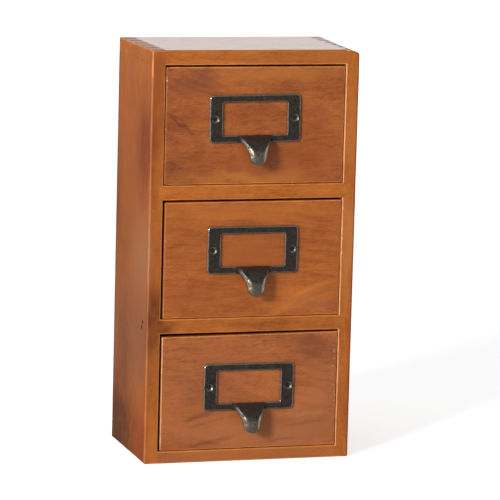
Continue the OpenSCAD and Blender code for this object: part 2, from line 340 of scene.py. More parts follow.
class Net:
    """Short names for making shader nodes."""

    def __init__(self, name):
        self.mat = bpy.data.materials.new(name)
        self.mat.use_nodes = True
        self.t = self.mat.node_tree
        self.t.nodes.clear()
        self.out = self.t.nodes.new("ShaderNodeOutputMaterial")
        self.bsdf = self.t.nodes.new("ShaderNodeBsdfPrincipled")
        self.t.links.new(self.bsdf.outputs[0], self.out.inputs[0])
        tc = self.t.nodes.new("ShaderNodeTexCoord")
        self.obj, self.nrm = tc.outputs["Object"], tc.outputs["Normal"]

    def put(self, socket, value):
        if value is None:
            return
        if isinstance(value, bpy.types.NodeSocket):
            self.t.links.new(value, socket)
        else:
            socket.default_value = value

    def math(self, op, a, b=None, c=None, clamp=False):
        n = self.t.nodes.new("ShaderNodeMath")
        n.operation, n.use_clamp = op, clamp
        for i, v in enumerate((a, b, c)):
            self.put(n.inputs[i], v)
        return n.outputs[0]

    def add(self, a, b):
        return self.math("ADD", a, b)

    def sub(self, a, b):
        return self.math("SUBTRACT", a, b)

    def mul(self, a, b):
        return self.math("MULTIPLY", a, b)

    def vec(self, op, a, b=None, scale=None):
        n = self.t.nodes.new("ShaderNodeVectorMath")
        n.operation = op
        self.put(n.inputs[0], a)
        self.put(n.inputs[1], b)
        if scale is not None:
            self.put(n.inputs["Scale"], scale)
        return n.outputs["Value"] if op in ("LENGTH", "DOT_PRODUCT", "DISTANCE") else n.outputs[0]

    def split(self, v):
        n = self.t.nodes.new("ShaderNodeSeparateXYZ")
        self.put(n.inputs[0], v)
        return n.outputs[0], n.outputs[1], n.outputs[2]

    def join(self, x, y, z):
        n = self.t.nodes.new("ShaderNodeCombineXYZ")
        for i, v in enumerate((x, y, z)):
            self.put(n.inputs[i], v)
        return n.outputs[0]

    def noise(self, v, scale=1.0, detail=2.0, rough=0.5, distort=0.0, colour=False):
        n = self.t.nodes.new("ShaderNodeTexNoise")
        n.noise_dimensions = "3D"
        self.put(n.inputs["Vector"], v)
        n.inputs["Scale"].default_value = scale
        n.inputs["Detail"].default_value = detail
        n.inputs["Roughness"].default_value = rough
        n.inputs["Distortion"].default_value = distort
        return n.outputs["Color"] if colour else n.outputs[0]

    def voronoi(self, v, scale=1.0, feature="F1", rand=1.0, out="Distance"):
        n = self.t.nodes.new("ShaderNodeTexVoronoi")
        n.feature = feature
        self.put(n.inputs["Vector"], v)
        n.inputs["Scale"].default_value = scale
        n.inputs["Randomness"].default_value = rand
        return n.outputs[out]

    def range(self, v, a, b, lo=0.0, hi=1.0, smooth=True):
        n = self.t.nodes.new("ShaderNodeMapRange")
        n.interpolation_type = "SMOOTHSTEP" if smooth else "LINEAR"
        n.clamp = True
        self.put(n.inputs[0], v)
        for i, x in enumerate((a, b, lo, hi)):
            self.put(n.inputs[i + 1], x)
        return n.outputs[0]

    def mix(self, fac, a, b, blend="MIX"):
        n = self.t.nodes.new("ShaderNodeMix")
        n.data_type, n.blend_type = "RGBA", blend
        n.clamp_factor = True
        self.put(n.inputs[0], fac)
        self.put(n.inputs[6], a)
        self.put(n.inputs[7], b)
        return n.outputs[2]

    def ramp(self, fac, stops):
        n = self.t.nodes.new("ShaderNodeValToRGB")
        e = n.color_ramp.elements
        while len(e) < len(stops):
            e.new(0.5)
        for x, (p, c) in zip(e, stops):
            x.position, x.color = p, c
        self.put(n.inputs[0], fac)
        return n.outputs[0]

    def bump(self, height, strength, distance, normal=None):
        n = self.t.nodes.new("ShaderNodeBump")
        n.inputs["Strength"].default_value = strength
        n.inputs["Distance"].default_value = distance
        self.put(n.inputs["Height"], height)
        if normal is not None:
            self.put(n.inputs["Normal"], normal)
        return n.outputs[0]

    def set(self, **kw):
        names = {"base": "Base Color", "rough": "Roughness", "metal": "Metallic", "spec": "Specular IOR Level",
                 "coat": "Coat Weight", "coat_rough": "Coat Roughness", "ior": "IOR", "normal": "Normal",
                 "coat_normal": "Coat Normal", "sheen": "Sheen Weight", "coat_ior": "Coat IOR"}
        for k, v in kw.items():
            self.put(self.bsdf.inputs[names[k]], v)
        return self.mat


def arris(net):
    """1 on rounded edges, 0 on flat faces: the size of the normal's second largest part."""
    a = net.vec("ABSOLUTE", net.nrm)
    x, y, z = net.split(a)
    big = net.math("MAXIMUM", x, net.math("MAXIMUM", y, z))
    small = net.math("MINIMUM", x, net.math("MINIMUM", y, z))
    mid = net.sub(net.add(net.add(x, y), z), net.add(big, small))
    return mid


def soft_patch(t, p, centre, radii, bend):
    """1 in the middle of a soft, slightly ragged patch and 0 outside it; lengths in mm."""
    d = t.vec("SUBTRACT", p, centre)
    d = t.vec("ADD", d, bend)
    d = t.vec("MULTIPLY", d, tuple(1.0 / r for r in radii))
    return t.range(t.vec("LENGTH", d), 1.2, 0.2)


FAR = 900.0


def streak_line(t, p, centre, length, width, tilt, curve, ragged):
    """1 along a thin dark figure line on a front, which may be tilted and curved; lengths in mm."""
    d = t.vec("ADD", t.vec("SUBTRACT", p, centre), ragged)
    x, y, z = t.split(d)
    c, s = math.cos(math.radians(tilt)), math.sin(math.radians(tilt))
    u = t.add(t.mul(x, c), t.mul(z, s))
    v = t.sub(t.mul(z, c), t.mul(x, s))
    v = t.sub(v, t.mul(t.mul(u, u), curve))
    a = t.range(t.math("ABSOLUTE", u), length, length * 0.35)
    b = t.range(t.math("ABSOLUTE", v), width * 1.8, width * 0.1)
    return t.mul(a, b)


def wood(name, grain, seed, light, mid, dark, middle=(0, 0, 0), figure=0.5, ring=4.0, pith=(60.0, 26.0),
         tilt=0.0, taper=0.0, wave=10.0, blotch=0.5, coat=0.5, coat_rough=0.16, rough=0.45, edge=0.6,
         edge_colour=None, end_dark=0.55, chips=0.0, patches=(), end_coat=0.25, fibre=1.0, contrast=1.35,
         end_rough=0.22, arrises=(), chip_zones=(), lines=(), lean=0.35, dull=(), shade_strips=(), waver=20.0, fade=None, marks=()):
    """Stained and lacquered wood. grain is the board's long axis; the figure is the cut through growth
    rings round a pith that lies pith = (across, deep) mm away from the board's middle."""
    t = Net(name)
    p = t.vec("SCALE", t.obj, scale=1000.0)                       # millimetres
    pm = t.vec("SUBTRACT", p, middle)
    x, y, z = t.split(pm)
    L, A, T = {"x": (x, z, y), "y": (y, x, z), "z": (z, y, x)}[grain]
    nx, ny, nz = t.split(t.vec("ABSOLUTE", t.nrm))
    end = t.range({"x": nx, "y": ny, "z": nz}[grain], 0.72, 0.92)
    s = seed * 17.31

    def stretched(fl, fa, off, **kw):
        v = t.join(t.mul(L, fl), t.mul(A, fa), t.mul(T, fa))
        return t.noise(t.vec("ADD", v, off), **kw)

    slow = stretched(0.011, 0.024, (s, s * 0.7, -s), detail=1.5)
    slow2 = stretched(0.045, 0.10, (-s, s * 0.3, s), detail=2.0)
    a2 = t.add(t.add(A, t.mul(L, tilt)), t.mul(t.sub(slow, 0.5), wave))
    rr = t.math("SQRT", t.add(t.math("POWER", t.sub(a2, pith[0]), 2.0), t.math("POWER", t.sub(T, pith[1]), 2.0)))
    rr = t.add(t.add(rr, t.mul(L, taper)), t.mul(t.sub(slow2, 0.5), 4.6))
    phase = t.math("FRACT", t.mul(rr, 1.0 / ring))
    late = t.mul(t.range(phase, 0.25, 0.88), t.range(phase, 1.0, 0.90))   # darker late wood, then a step back
    show = t.range(stretched(0.016, 0.030, (s, 41, -s), detail=2.0), 0.40, 0.62, 0.12, 1.0)
    # fibres and pores, long along the grain
    fib = stretched(0.07, 0.95, (s, 0, s), detail=4.0, rough=0.62)
    fine = stretched(0.22, 3.6, (0, s, 0), detail=2.0, rough=0.6)
    pores = t.range(stretched(0.40, 5.5, (3 + s, 5, 7), detail=1.0), 0.64, 0.74)
    streak = stretched(0.020, 0.16, (s, s, 9), detail=3.0, rough=0.55)
    cloud = stretched(0.022, 0.034, (5 + s, -s, 2), detail=3.0, rough=0.5, distort=0.4)
    mott = stretched(0.10, 0.17, (-s, 2, s), detail=3.0, rough=0.55, distort=0.3)
    # short flecks that lean across the grain
    fl = t.join(t.mul(t.add(L, t.mul(A, lean)), 0.30), t.mul(t.sub(A, t.mul(L, lean)), 0.95), t.mul(T, 0.4))
    fleck2 = t.noise(t.vec("ADD", fl, (s, 3, -s)), detail=3.0, rough=0.6, distort=0.5)

    tone = t.mul(t.mul(t.sub(late, 0.35), show), 0.24 * figure * contrast)
    tone = t.add(tone, t.mul(t.sub(fib, 0.5), 0.66 * fibre * contrast))
    tone = t.add(tone, t.mul(t.sub(fine, 0.5), 0.46 * fibre * contrast))
    tone = t.add(tone, t.mul(t.sub(streak, 0.5), 0.50 * figure * contrast))
    tone = t.add(tone, t.mul(t.sub(cloud, 0.5), 1.5 * blotch * contrast))
    tone = t.add(tone, t.mul(t.sub(mott, 0.5), 0.8 * blotch * contrast))
    tone = t.add(tone, t.mul(t.sub(fleck2, 0.5), 1.7 * blotch * contrast))
    tone = t.add(tone, 0.45)
    col = t.ramp(tone, [(0.0, light), (0.45, mid), (1.0, dark)])
    ragged = t.vec("SUBTRACT", t.noise(t.vec("ADD", t.vec("SCALE", p, scale=0.11), (s, -s, s)), detail=3.0, rough=0.55,
                                       colour=True), (0.5, 0.5, 0.5))
    if patches:
        drift = t.vec("SUBTRACT", t.noise(t.vec("ADD", t.vec("SCALE", p, scale=0.045), (s, -s, s)), detail=3.0, rough=0.6,
                                          colour=True), (0.5, 0.5, 0.5))
        drift = t.vec("SCALE", drift, scale=waver)
        fleck = t.range(mott, 0.30, 0.62, 0.62, 1.0)
        for centre, radii, colour, amount in patches:      # places where the stain took more or wore off, and patches of painted shade and painted reflection
            m = t.mul(soft_patch(t, p, centre, radii, drift), t.mul(fleck, amount))
            grainy = t.math("MULTIPLY_ADD", t.sub(t.add(fib, fleck2), 1.0), 0.55, 1.0)
            col = t.mix(m, col, t.mix(1.0, colour, t.join(grainy, grainy, grainy), "MULTIPLY"))
    for centre, length, width, angle, curve, colour, amount in lines:      # single figure lines
        m = streak_line(t, p, centre, length, width, angle, curve, t.vec("SCALE", ragged, scale=4.0))
        col = t.mix(t.mul(t.mul(m, amount), t.range(fib, 0.36, 0.60, 0.45, 1.0)), col, colour)
    for axis, at, way, soft, facing, colour, amount in shade_strips:    # a straight darker strip along an edge: painted shade
        q = t.split(p)[{"x": 0, "y": 1, "z": 2}[axis]]
        m = t.range(t.add(q, t.mul(t.sub(mott, 0.5), 2.0)), at - soft * way, at + soft * way)
        m = t.mul(m, t.range({"x": nx, "y": ny, "z": nz}[facing], 0.25, 0.6))
        col = t.mix(t.mul(m, t.mul(t.range(fib, 0.3, 0.6, 0.75, 1.0), amount)), col, colour)
    for centre, radii in marks:                            # bruised wood and dirt round a brad
        d = t.vec("MULTIPLY", t.vec("SUBTRACT", p, centre), tuple(1.0 / r for r in radii))
        col = t.mix(t.mul(t.range(t.vec("LENGTH", d), 1.25, 0.6), 0.9), col, lin(58, 26, 16))
    col = t.mix(t.mul(pores, 0.20 * fibre), col, (0.05, 0.018, 0.008, 1))
    # end grain drinks more stain and shines less
    rings_end = t.range(phase, 0.2, 0.95, 0.78, 1.1)
    speck = t.range(t.noise(t.vec("SCALE", pm, scale=2.4), detail=2.0), 0.40, 0.62, 0.72, 1.05)
    both = t.mul(rings_end, speck)
    endcol = t.mix(1.0, dark, t.join(both, both, both), "MULTIPLY")
    col = t.mix(t.mul(end, end_dark), col, endcol)
    # worn, burnished arrises, painted lighter also as a highlight where light catches them
    m = arris(t)
    rub = t.noise(t.vec("SCALE", p, scale=0.14), detail=3.0, rough=0.6)
    wear_and_highlight = t.mul(t.range(m, 0.08, 0.50), t.range(rub, 0.25, 0.62, 0.45, 1.0))
    if edge_colour is None:
        edge_colour = lin(232, 150, 76)
    ec, amount = edge_colour, edge
    for axis, at, way, colour, power in arrises:           # an edge with its own colour: its own wear, with a painted highlight on some edges and painted shade on others
        v = {"x": 0, "y": 1, "z": 2}[axis]
        q = t.split(p)[v]
        side = t.range(q, at - 0.4 * way, at + 0.4 * way)
        ec = t.mix(side, ec, colour)
        amount = t.add(t.mul(t.sub(1.0, side), amount), t.mul(side, power))
    col = t.mix(t.mul(wear_and_highlight, amount), col, ec)
    if chips > 0:
        cn = t.noise(t.vec("SCALE", p, scale=0.62), detail=3.0, rough=0.7)
        where = t.range(m, 0.08, 0.3)
        zone = 0.0
        for centre, radii, power in chip_zones:
            zone = t.add(zone, t.mul(soft_patch(t, p, centre, radii, (0, 0, 0)), power))
        if chip_zones:
            cn = t.add(cn, t.mul(t.math("MINIMUM", zone, 1.0), 0.11))
            where = t.math("MAXIMUM", where, t.mul(zone, 0.55))
        chip = t.mul(t.range(cn, 0.655, 0.70), where)
        col = t.mix(t.mul(chip, chips), col, lin(244, 220, 192))
    # surface
    h = t.add(t.mul(fib, 0.6), t.mul(fine, 0.35))
    h = t.sub(h, t.mul(pores, 0.5))
    h = t.mul(t.sub(h, t.mul(late, 0.12)), t.sub(1.0, t.mul(end, 0.8)))
    n1 = t.bump(h, 0.32, 0.00006)
    peel = t.noise(t.vec("SCALE", p, scale=0.35), detail=2.0)
    n2 = t.bump(t.add(peel, t.mul(h, 0.25)), 0.22, 0.00010)
    r = t.add(t.mul(t.sub(fib, 0.5), 0.16), t.mul(t.sub(cloud, 0.5), 0.14))
    r = t.add(t.add(r, rough), t.mul(end, end_rough))
    cw = t.mul(t.sub(1.0, t.mul(end, 1 - end_coat)), coat)
    cw = t.mul(cw, t.range(mott, 0.25, 0.75, 0.82, 1.0))
    for axis, at, way, level in dull:                      # a strip where the lacquer is thinner
        q = t.split(p)[{"x": 0, "y": 1, "z": 2}[axis]]
        thin = t.mul(t.range(q, at - 0.6 * way, at + 0.6 * way), t.mul(t.range(nz, 0.6, 0.8), 1 - level))
        cw = t.mul(cw, t.sub(1.0, thin))
    if fade:                                               # lacquer that thins out towards the foot of a face
        axis, low, high, level, facing = fade
        q = t.split(p)[{"x": 0, "y": 1, "z": 2}[axis]]
        on = t.range({"x": nx, "y": ny, "z": nz}[facing], 0.3, 0.7)
        cw = t.mul(cw, t.sub(1.0, t.mul(on, t.range(q, low, high, 1 - level, 0.0))))
    cw = t.mul(cw, t.sub(1.0, t.mul(wear_and_highlight, 0.55)))
    t.bsdf.inputs["Specular IOR Level"].default_value = 0.25
    return t.set(base=col, rough=t.math("MAXIMUM", t.math("MINIMUM", r, 0.9), 0.12), coat=cw, coat_rough=coat_rough,
                 normal=n1, coat_normal=n2)


def cast_iron(name, seed):
    """Dark antiqued casting: brown-black patina with greenish and brown specks, rubbed bright on its edges and lip,
    where the bright metal is partly a painted highlight and reflection, and with a lighter grey painted reflection on
    the tongue's shoulders.
    """
    t = Net(name)
    p = t.vec("ADD", t.vec("SCALE", t.obj, scale=1000.0), (seed * 13.7, seed * 5.1, -seed * 9.3))
    # the edge mask lays bright metal on edges, partly a painted highlight; the rubbed mask lays brass on the tongue,
    # partly a painted reflection; the shoulder mask paints a lighter grey reflection on the tongue's shoulders
    at = t.t.nodes.new("ShaderNodeAttribute")
    at.attribute_name = "worn_and_glint"
    worn_and_glint = at.outputs["Fac"]
    at2 = t.t.nodes.new("ShaderNodeAttribute")
    at2.attribute_name = "rubbed_and_sheen"
    rubbed_and_sheen = at2.outputs["Fac"]
    at3 = t.t.nodes.new("ShaderNodeAttribute")
    at3.attribute_name = "shoulder_sheen"
    shoulder_sheen = at3.outputs["Fac"]
    grit = t.noise(p, scale=2.6, detail=3.0, rough=0.65)
    blot = t.noise(p, scale=0.55, detail=3.0, rough=0.6)
    spots = t.noise(t.vec("ADD", p, (31, 7, 3)), scale=1.5, detail=2.0, rough=0.7)
    base = t.ramp(t.add(t.mul(blot, 0.6), t.mul(grit, 0.45)),
                  [(0.32, (0.017, 0.013, 0.010, 1)), (0.52, (0.040, 0.031, 0.024, 1)), (0.70, (0.086, 0.068, 0.050, 1))])
    base = t.mix(t.mul(t.range(spots, 0.54, 0.66), 0.6), base, (0.100, 0.094, 0.068, 1))       # greenish specks
    base = t.mix(t.mul(t.range(t.noise(t.vec("ADD", p, (3, 57, 11)), scale=1.1, detail=2.0), 0.60, 0.72), 0.5),
                 base, (0.095, 0.050, 0.026, 1))                                                   # brown specks
    edge = t.mul(t.range(t.add(worn_and_glint, t.mul(t.sub(grit, 0.5), 0.30)), 0.20, 0.60), t.range(blot, 0.28, 0.58, 0.50, 1.0))
    brass = t.noise(t.vec("ADD", p, (9, 2, 41)), scale=1.3, detail=3.0, rough=0.7)
    scuff = t.range(t.add(t.mul(brass, 0.7), t.mul(grit, 0.3)), 0.40, 0.58, 0.28, 1.0)
    scuff = t.math("MAXIMUM", scuff, t.range(rubbed_and_sheen, 0.48, 0.78))
    lip = t.mul(t.range(t.add(rubbed_and_sheen, t.mul(t.sub(blot, 0.5), 0.4)), 0.12, 0.85), scuff)
    shine = t.math("MAXIMUM", edge, t.mul(lip, 0.85))
    metal = t.ramp(t.add(t.mul(brass, 0.6), t.mul(rubbed_and_sheen, 0.35)),
                   [(0.25, (0.46, 0.46, 0.43, 1)), (0.52, (0.46, 0.41, 0.31, 1)), (0.80, (0.42, 0.35, 0.22, 1))])
    # painted reflection: a lighter, less metallic grey on the tongue's shoulders
    grey = t.ramp(blot, [(0.3, (0.115, 0.118, 0.112, 1)), (0.7, (0.200, 0.205, 0.196, 1))])
    base = t.mix(t.mul(shoulder_sheen, 0.85), base, grey)
    col = t.mix(t.mul(shine, 0.85), base, metal)
    rough = t.add(t.mul(t.sub(1.0, shine), 0.16), 0.24)
    rough = t.add(rough, t.mul(t.sub(grit, 0.5), 0.16))
    h = t.add(t.mul(grit, 0.5), t.mul(spots, 0.8))
    h = t.mul(h, t.sub(1.0, t.mul(t.range(rubbed_and_sheen, 0.48, 0.8), 0.85)))
    n = t.bump(h, 0.40, 0.00012)
    metallic = t.add(t.mul(shine, 0.45), t.sub(0.5, t.mul(shoulder_sheen, 0.35)))
    return t.set(base=col, metal=metallic, rough=rough, normal=n)


def steel(name, tint=(0.42, 0.40, 0.37, 1), dull=0.0):
    t = Net(name)
    p = t.vec("SCALE", t.obj, scale=1000.0)
    n1 = t.noise(p, scale=2.0, detail=3.0, rough=0.6)
    n2 = t.noise(p, scale=0.7, detail=2.0)
    col = t.mix(t.range(n1, 0.35, 0.7), tint, tuple(c * 0.45 for c in tint[:3]) + (1,))
    col = t.mix(t.mul(t.range(n2, 0.55, 0.7), 0.5), col, (0.16, 0.07, 0.03, 1))
    r = t.add(t.mul(n1, 0.3), 0.25 + dull)
    m = t.range(n2, 0.6, 0.75, 1.0, 0.4)
    return t.set(base=col, metal=m, rough=r, normal=t.bump(n1, 0.3, 0.00008))


def plywood(name, seed, face, ply_axis, low, thick, rough=0.6, coat=0.0):
    """Thin plywood: rotary-cut veneer on its faces, three layers on its edges. ply_axis is the thickness axis."""
    t = Net(name)
    p = t.vec("SCALE", t.obj, scale=1000.0)
    x, y, z = t.split(p)
    if ply_axis == "y":
        L, A, T, nt = x, z, y, t.split(t.vec("ABSOLUTE", t.nrm))[1]
    else:
        L, A, T, nt = x, y, z, t.split(t.vec("ABSOLUTE", t.nrm))[2]
    s = seed * 11.9
    wav = t.noise(t.vec("ADD", t.join(t.mul(L, 0.008), t.mul(A, 0.035), s), (s, 0, 0)), detail=3.0, rough=0.5)
    bands = t.math("SINE", t.add(t.mul(wav, 42.0), t.mul(A, 0.05)))
    fib = t.noise(t.join(t.mul(L, 0.06), t.mul(A, 2.2), s), detail=4.0, rough=0.6)
    dash = t.range(t.noise(t.join(t.mul(L, 0.35), t.mul(A, 4.0), s), detail=1.0), 0.62, 0.70)
    tone = t.add(t.add(t.mul(bands, 0.14), t.mul(t.sub(fib, 0.5), 0.6)), 0.45)
    lo, hi = face
    col = t.mix(t.math("ADD", tone, 0.0, clamp=True), lo, hi)
    col = t.mix(t.mul(dash, 0.3), col, tuple(c * 0.35 for c in hi[:3]) + (1,))
    layer = t.math("ABSOLUTE", t.sub(t.math("FRACT", t.mul(t.sub(T, low), 1.0 / thick)), 0.5))
    core = t.range(layer, 0.20, 0.14)
    glue = t.mul(t.range(layer, 0.13, 0.16), t.range(layer, 0.20, 0.17))
    rims = t.noise(t.vec("SCALE", p, scale=1.6), detail=3.0)
    edgec = t.mix(core, lo, t.mix(rims, tuple(c * 0.6 for c in hi[:3]) + (1,), hi))
    edgec = t.mix(t.mul(glue, 0.8), edgec, (0.05, 0.022, 0.012, 1))
    col = t.mix(t.range(nt, 0.5, 0.3), col, edgec)
    h = t.sub(t.mul(fib, 0.8), t.mul(dash, 0.6))
    return t.set(base=col, rough=t.add(t.mul(fib, 0.2), rough - 0.1), coat=coat, normal=t.bump(h, 0.35, 0.00010))


# ------------------------------------------------------------------ measures taken from the frame

lo_l, hi_l = (np.array(v) * 1000 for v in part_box("left_side"))
lo_r, hi_r = (np.array(v) * 1000 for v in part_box("right_side"))
lo_t, hi_t = (np.array(v) * 1000 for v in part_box("top_panel"))
lo_b, hi_b = (np.array(v) * 1000 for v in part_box("bottom_panel"))
lo_u, hi_u = (np.array(v) * 1000 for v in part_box("upper_shelf"))
lo_s, hi_s = (np.array(v) * 1000 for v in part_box("lower_shelf"))
X0, X1, Y0, Y1, Z0, Z1 = lo_l[0], hi_r[0], lo_l[1], hi_l[1], lo_l[2], hi_l[2]
OX0, OX1 = hi_l[0], lo_r[0]                               # sides of the openings
OPEN = {"upper": (hi_u[2], lo_t[2]), "middle": (hi_s[2], lo_u[2]), "lower": (hi_b[2], lo_s[2])}

# ------------------------------------------------------------------ camera

cam_data = bpy.data.cameras.new("camera")
cam = bpy.data.objects.new("camera", cam_data)
bpy.context.scene.collection.objects.link(cam)
bpy.context.scene.camera = cam
cam_data.sensor_width = 36.0
cam_data.lens = 241.35
cam_data.clip_start, cam_data.clip_end = 0.05, 60.0
right = Vector((0.95856586, -0.28368045, 0.02601715)).normalized()
forward = Vector((0.28409637, 0.94523342, -0.1606955)).normalized()
up = right.cross(forward).normalized()
rot = Matrix((right, up, -forward)).transposed()
cam.matrix_world = Matrix.Translation((-0.57779, -1.95789, 0.45649)) @ rot.to_4x4()

# ------------------------------------------------------------------ palette

C_LIGHT, C_MID, C_DARK = lin(192, 112, 40), lin(168, 90, 28), lin(112, 50, 12)

# ------------------------------------------------------------------ cabinet

SKIN = 0.03                                               # the finished surface lies this far inside the boards


def cabinet_radius(p):
    r = 1.15 + 0.30 * wobble(p, 16, 1) + 0.16 * wobble(p, 5, 2)
    if p[1] > Y1 - 6:
        r *= 0.7
    if p[2] < Z0 + 6:
        r *= 0.8
    return r


def cabinet_bend(p):
    """The outer end of the right side board is rubbed down towards the front at its top corner."""
    q = np.array(p, float)
    t = min(1.0, max(0.0, (Y1 - q[1]) / (Y1 - Y0)))
    s = max(0.0, q[0] - (X1 - 6.6)) / 6.6
    s = s * s * (3 - 2 * s) if s < 0.5 else s
    near = min(1.0, max(0.0, (q[2] - (Z1 - 14)) / 12))
    q[2] -= 2.2 * t * s * near
    q[0] += 0.0
    return q


hull = rounded_box("hull", (X0 + SKIN, Y0 + SKIN, Z0 + SKIN), (X1 - SKIN, Y1 - SKIN, Z1 - SKIN), cabinet_radius,
                   1.7, 5.0, extra=((X1 - 7.4, X1 - 6.6, X1 - 5.8, X1 - 5.0, X1 - 4.0, X1 - 3.0), (), (Z1 - 14,)),
                   bend=cabinet_bend)


def opening_plug(name, z0, z1, seed):
    """A flared plug: what it takes away leaves an opening's front edges rounded."""
    y_front = Y0 + SKIN
    xs = np.linspace(OX0, OX1, 30)
    zs = np.linspace(z0, z1, 20)
    ring = [(x, z0) for x in xs[:-1]] + [(OX1, z) for z in zs[:-1]] + [(x, z1) for x in xs[:0:-1]] + [(OX0, z) for z in zs[:0:-1]]
    rs = [0.95 + 0.22 * wobble((x, 0, z), 9, seed) + 0.12 * wobble((x, 5, z), 3.5, seed + 1) for x, z in ring]
    out = []
    for x, z in ring:
        out.append(((-1 if abs(x - OX0) < 1e-6 else 1 if abs(x - OX1) < 1e-6 else 0),
                    (-1 if abs(z - z0) < 1e-6 else 1 if abs(z - z1) < 1e-6 else 0)))
    layers = [(-2.0, None)] + [(k / 7.0, k) for k in range(8)]
    verts, faces = [], []
    for f, k in layers:
        for (x, z), r, (sx, sz) in zip(ring, rs, out):
            if k is None:
                a, b = r + 1.2, -1.2
            else:
                ang = math.pi / 2 * f
                a, b = r * (1 - math.sin(ang)) - 0.02, r * (1 - math.cos(ang))
            verts.append((x + sx * a, y_front + b, z + sz * a))
    n = len(ring)
    for i in range(len(layers) - 1):
        for j in range(n):
            a, b = i * n + j, i * n + (j + 1) % n
            faces.append((a, b, b + n, a + n))
    c0 = len(verts)
    verts.append(((OX0 + OX1) / 2, y_front - 1.2, (z0 + z1) / 2))
    verts.append(((OX0 + OX1) / 2, y_front + 1.0, (z0 + z1) / 2))
    last = (len(layers) - 1) * n
    for j in range(n):
        faces.append((c0, (j + 1) % n, j))
        faces.append((c0 + 1, last + j, last + (j + 1) % n))
    me = mesh_from(name, verts, faces)
    bm = bmesh.new()
    bm.from_mesh(me)
    bmesh.ops.recalc_face_normals(bm, faces=bm.faces)
    bm.to_mesh(me)
    bm.free()
    return me


def cabinet_board(name, node, mat, plugs=()):
    bm = ease_edges(node_mesh(node), 0.07)
    me = bpy.data.meshes.new(name)
    bm.to_mesh(me)
    bm.free()
    me = boolean(me, hull.copy(), "INTERSECT")
    for k in plugs:
        me = boolean(me, opening_plug("plug", *OPEN[k], seed={"upper": 3, "middle": 5, "lower": 8}[k]), "DIFFERENCE")
    me = finish_mesh(me)
    return piece(name, me, [node], mat)


FRONT_Y, LEFT_X = Y0, X0
BROWN, UMBER, ROSE, REDDISH, AMBER = lin(120, 62, 22), lin(84, 46, 28), lin(146, 88, 62), lin(138, 58, 16), lin(196, 118, 48)
PALE, TAN, SHADED_EDGE_RED = lin(232, 168, 116), lin(232, 160, 98), lin(150, 66, 16)
# painted shade: darker patches at the foot of the left side, carried onto the bottom board's left end
SIDE_FOOT_SHADE = (((LEFT_X, 8, 8), (5, 40, 42), lin(104, 48, 12), 1.0), ((LEFT_X, 44, 6), (5, 44, 50), lin(78, 42, 22), 1.0),
             ((LEFT_X, -36, 4), (5, 28, 38), lin(138, 56, 8), 0.92))

R_LIGHT, R_MID = lin(200, 120, 46), lin(178, 97, 31)

mat_left = wood("wood_left_side", "z", 1, C_LIGHT, C_MID, C_DARK, middle=(X0, 0, 126), figure=0.35, pith=(90, 40), blotch=0.22,
                fibre=0.6, coat=0.22, coat_rough=0.3, rough=0.5, end_coat=1.7, end_dark=0.38, edge=0.9, edge_colour=TAN,
                # the left outer arris is kept dim, and the arrises above z 236 are painted lighter: a painted highlight
                arrises=(("x", X0 + 4, -1, lin(214, 138, 78), 0.30), ("z", 236, 1, lin(226, 150, 82), 0.60)),
                # the darker strip near the back edge is painted shade of the rounded back arris
                shade_strips=(("y", 36.0, 1, 2.0, "x", lin(122, 54, 14), 0.50),), waver=9.0, fade=("z", 8, 56, 0.15, "x"),
                marks=(((LEFT_X, Y0 + 9.8, 86.1), (3, 1.6, 1.35)), ((LEFT_X, Y0 + 12.1, 82.5), (3, 1.8, 1.45))), patches=(
                    # the outer face: stain variation, with darker patches and a darker foot as painted shade and a
                    # pinkish painted reflection across the middle and lower part
                    ((LEFT_X, 10, 176), (5, 60, 60), lin(144, 72, 22), 0.60),
                    ((LEFT_X, -28, 192), (5, 24, 40), lin(124, 48, 10), 0.90),
                    ((LEFT_X, 42, 146), (5, 20, 40), lin(118, 50, 8), 0.85),
                    ((LEFT_X, 20, 122), (5, 34, 36), lin(138, 74, 18), 0.75),
                    # painted reflection: a pinkish sheen across the middle and lower part of the face
                    ((LEFT_X, -30, 122), (5, 42, 38), lin(159, 101, 65), 0.88),
                    ((LEFT_X, 0, 74), (5, 78, 42), lin(137, 80, 47), 0.95),
                    ((LEFT_X, 16, 60), (5, 18, 44), lin(122, 64, 24), 0.75),
                    *SIDE_FOOT_SHADE,
                    # the front edge
                    ((-61, FRONT_Y, 222), (6, 5, 40), lin(140, 72, 28), 0.75),
                    ((-61, FRONT_Y, 196), (6, 5, 12), lin(128, 60, 24), 0.50),
                    ((-61, FRONT_Y, 90), (10, 5, 26), lin(92, 38, 14), 0.92),
                    ((-61, FRONT_Y, 10), (6, 5, 26), AMBER, 0.5)))
mat_right = wood("wood_right_side", "z", 2, R_LIGHT, R_MID, C_DARK, middle=(X1, 0, 126), figure=0.35, pith=(-70, 50), blotch=0.28,
                 coat=0.35, end_coat=0.9, end_dark=0.65, chips=0.7, edge=0.80, edge_colour=PALE,
                 # the right outer arris and the strip beside it are painted darker and redder: painted shade where the
                 # edge turns away from the light
                 arrises=(("x", X1 - 4, 1, SHADED_EDGE_RED, 0.6),), shade_strips=(("x", 63.9, 1, 0.30, "y", lin(150, 66, 14), 0.75),),
                 chip_zones=(((57, FRONT_Y, 166), (2.2, 3, 4), 1.0), ((57, FRONT_Y, 140), (1.6, 3, 22), 0.8)), patches=(
                     ((61, FRONT_Y, 200), (6, 5, 40), lin(190, 112, 54), 0.45),
                     ((61, FRONT_Y, 130), (7, 5, 40), lin(192, 118, 66), 0.75),
                     ((61, FRONT_Y, 40), (6, 5, 34), lin(172, 94, 44), 0.40),
                     # painted shade down the right outer edge
                     ((64.5, FRONT_Y, 60), (3.0, 5, 90), SHADED_EDGE_RED, 0.45)))
